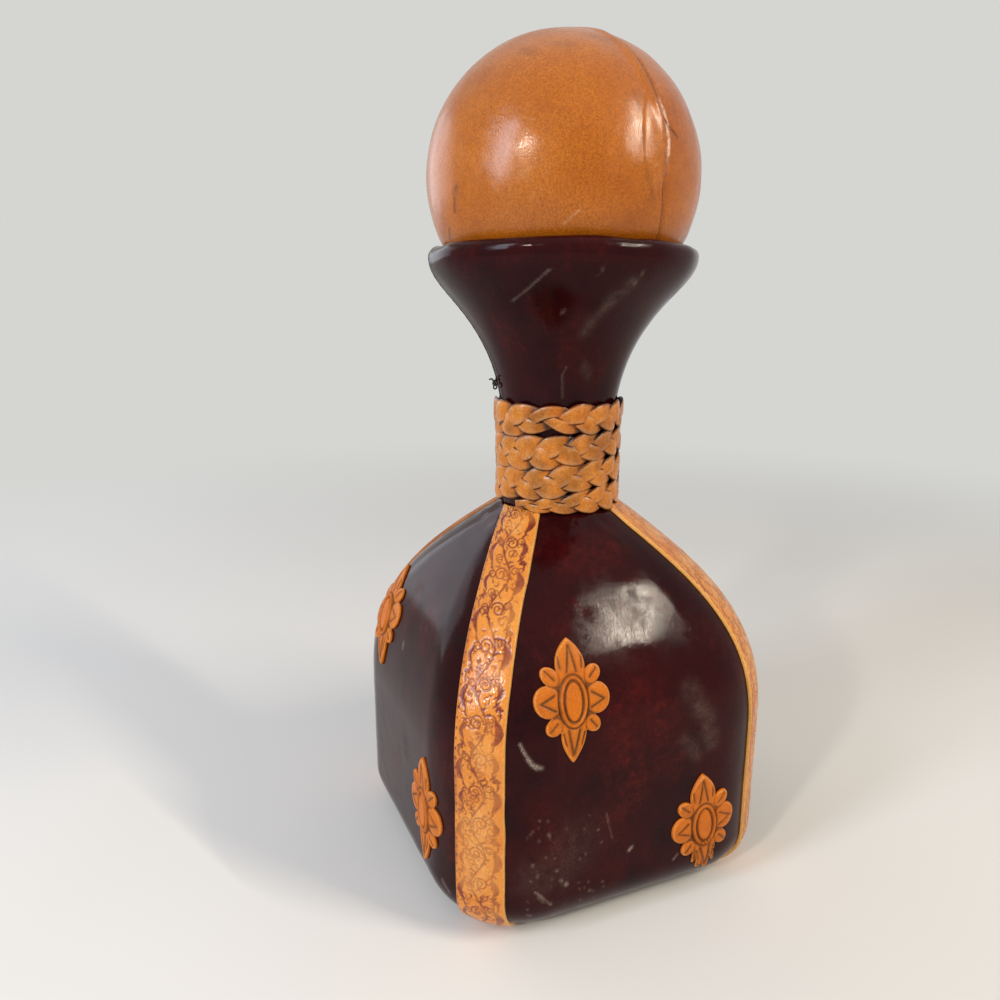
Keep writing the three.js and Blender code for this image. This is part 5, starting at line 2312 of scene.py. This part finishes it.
@dataclass
class Studio:
    """The floor and backdrop, the lamps and the camera."""

    azimuth: float = math.radians(-27.53)
    yaw: float = math.radians(-3.98)
    pitch: float = math.radians(-14.09)
    distance: float = 330.43 * MM
    height: float = 227.28 * MM
    lens: float = 30.25
    sensor: float = 36.0
    clip_start: float = 0.01
    floor_colour: Colour = srgb(226, 224, 220)
    floor_cloud: Colour = srgb(220, 218, 215)
    floor_waves: float = 3.0
    floor_rough: float = 0.75
    room_colour: Colour = srgb(213, 213, 210)
    fill_colour: Colour = (0.26, 0.26, 0.27, 1.0)
    floor_near: float = 0.05
    floor_reach: float = 4.0
    floor_rings: int = 24
    floor_sides: int = 64
    fade_start: float = 0.3
    fade_end: float = 1.0
    lamp_distance: float = 1.1
    lamp_target: float = 0.18

    def build(self) -> None:
        """Sets up everything that isn't part of the decanter."""
        self.build_floor()
        self.build_lamps()
        self.build_camera()
        bpy.context.scene.view_settings.view_transform = "Standard"

    @staticmethod
    def seen(wiring: Wiring) -> Output:
        """1 where the view, a reflection or glass looks straight at the surroundings, otherwise 0.

        Args:
            wiring: The shader tree that asks.

        Returns:
            The value.
        """
        path = wiring.node("ShaderNodeLightPath").outputs
        through = wiring.math("MAXIMUM", path["Is Glossy Ray"], path["Is Transmission Ray"])
        return wiring.math("MAXIMUM", path["Is Camera Ray"], through)

    def build_floor(self) -> None:
        """Makes a round pale floor that fades into the pale room."""
        angle = spread_round(self.floor_sides)
        reach = np.geomspace(self.floor_near, self.floor_reach, self.floor_rings)[:, None]
        faces = [face[::-1] for face in grid_faces(self.floor_rings, self.floor_sides, closed=True)]
        faces.append(list(range(self.floor_sides)))
        mesh = bpy.data.meshes.new("studio_floor")
        mesh.from_pydata(round_axis(reach, 0.0, angle).reshape(-1, 3).tolist(), [], faces)
        material, wiring, shader = new_material("pale_floor")
        where = wiring.place()
        cloud = wiring.noise(where, self.floor_waves, 2.0)
        colour = wiring.mix(cloud, self.floor_colour, self.floor_cloud)
        wiring.feed_all(shader, {"Base Color": colour, "Roughness": self.floor_rough})
        away = wiring.made("ShaderNodeVectorMath", "Value", {0: where}, operation="LENGTH")
        far = wiring.times(wiring.span(away, self.fade_start, self.fade_end), self.seen(wiring))
        room = wiring.made("ShaderNodeEmission", "Emission", {"Color": self.room_colour})
        blend = wiring.made("ShaderNodeMixShader", "Shader", {0: far, 1: shader.outputs["BSDF"], 2: room})
        wiring.feed(material.node_tree.nodes["Material Output"].inputs["Surface"], blend)
        mesh.materials.append(material)
        floor = bpy.data.objects.new("studio_floor", mesh)
        bpy.context.scene.collection.objects.link(floor)

    def build_lamps(self) -> None:
        """Hangs soft lamps to the left, the right and above, in a pale room."""
        self.lamp("window_left", 193.0, 23.0, (0.22, 0.72), 7.0, (0.76, 0.85, 1.0))
        self.lamp("lamp_left", 213.0, 23.0, (0.07, 0.07), 4.0, (1.0, 0.9, 0.76))
        self.lamp("window_right", 308.2, 33.0, (0.02, 0.54), 8.0, (1.0, 0.9, 0.74), 25.0)
        self.lamp("window_behind", 118.0, 14.0, (0.8, 0.6), 2.7, (0.82, 0.89, 1.0))
        self.lamp("ceiling", 250.0, 82.0, (2.4, 2.4), 3.8, (1.0, 0.99, 0.97))
        world = bpy.data.worlds.new("pale_room")
        world.use_nodes = True
        wiring = Wiring(world.node_tree)
        room = world.node_tree.nodes["Background"]
        wiring.feed(room.inputs["Color"], wiring.mix(self.seen(wiring), self.fill_colour, self.room_colour))
        bpy.context.scene.world = world

    def lamp(
        self, name: str, azimuth: float, elevation: float, size: tuple[float, float], watts: float,
        tint: Sequence[float], tilt: float = 0.0,
    ) -> None:
        """Hangs one soft lamp that points at the decanter.

        Args:
            name: Its name.
            azimuth: Its direction round the upright axis, in degrees.
            elevation: Its direction above the level of the decanter's middle, in degrees.
            size: Its width and height.
            watts: Its power.
            tint: Its colour.
            tilt: How far its top leans anticlockwise round the upright axis, in degrees.
        """
        light = bpy.data.lights.new(name, "AREA")
        light.shape = "RECTANGLE"
        light.size, light.size_y = size
        light.energy = watts
        light.color = tint
        lamp = bpy.data.objects.new(name, light)
        turn, rise = math.radians(azimuth), math.radians(elevation)
        away = round_axis(math.cos(rise), math.sin(rise), turn)
        place = away * self.lamp_distance + (0.0, 0.0, self.lamp_target)
        leaning = math.tan(math.radians(tilt))
        up = np.array([-leaning * math.sin(turn), leaning * math.cos(turn), 1.0])
        lamp.matrix_world = self.facing(place, -away, up)
        bpy.context.scene.collection.objects.link(lamp)

    @staticmethod
    def facing(place: Sequence[float], forward: Array, up: Array) -> Matrix:
        """A frame at a place that looks forward.

        Args:
            place: Its origin.
            forward: Unit direction that it looks in.
            up: Roughly which way is up.

        Returns:
            The frame's matrix.
        """
        right = unit(np.cross(forward, up))
        above = np.cross(right, forward)
        columns = np.eye(4)
        columns[:3, 0], columns[:3, 1], columns[:3, 2], columns[:3, 3] = right, above, -forward, place
        return Matrix(columns.tolist())

    def build_camera(self) -> None:
        """Puts the camera where the decanter is seen from the front left, a little above its middle."""
        ahead = np.array([-math.sin(self.azimuth), math.cos(self.azimuth), 0.0])
        right = np.array([math.cos(self.azimuth), math.sin(self.azimuth), 0.0])
        up = np.array([0.0, 0.0, 1.0])
        level = math.cos(self.yaw) * ahead + math.sin(self.yaw) * right
        forward = math.cos(self.pitch) * level + math.sin(self.pitch) * up
        place = -ahead * self.distance + up * self.height
        data = bpy.data.cameras.new("camera")
        data.lens = self.lens
        data.sensor_width = self.sensor
        data.clip_start = self.clip_start
        camera = bpy.data.objects.new("camera", data)
        camera.matrix_world = self.facing(place, forward, up)
        bpy.context.scene.collection.objects.link(camera)
        bpy.context.scene.camera = camera


def main() -> None:
    """Builds the studio and the decanter's pieces."""
    logging.basicConfig(level=logging.INFO, format="%(name)s: %(message)s")
    Studio().build()
    workshop = Workshop()
    body, neck = BodyForm(), NeckForm()
    GlassBottle(body, neck).build(workshop)
    Sole().build(workshop)
    Panels(body).build(workshop)
    CornerStrips(body).build(workshop)
    Medallions(body).build(workshop)
    NeckSleeve(neck).build(workshop)
    Plait(neck).build(workshop)
    StopperInside().build(workshop)
    StopperCover().build(workshop)


if __name__ == "__main__":
    main()
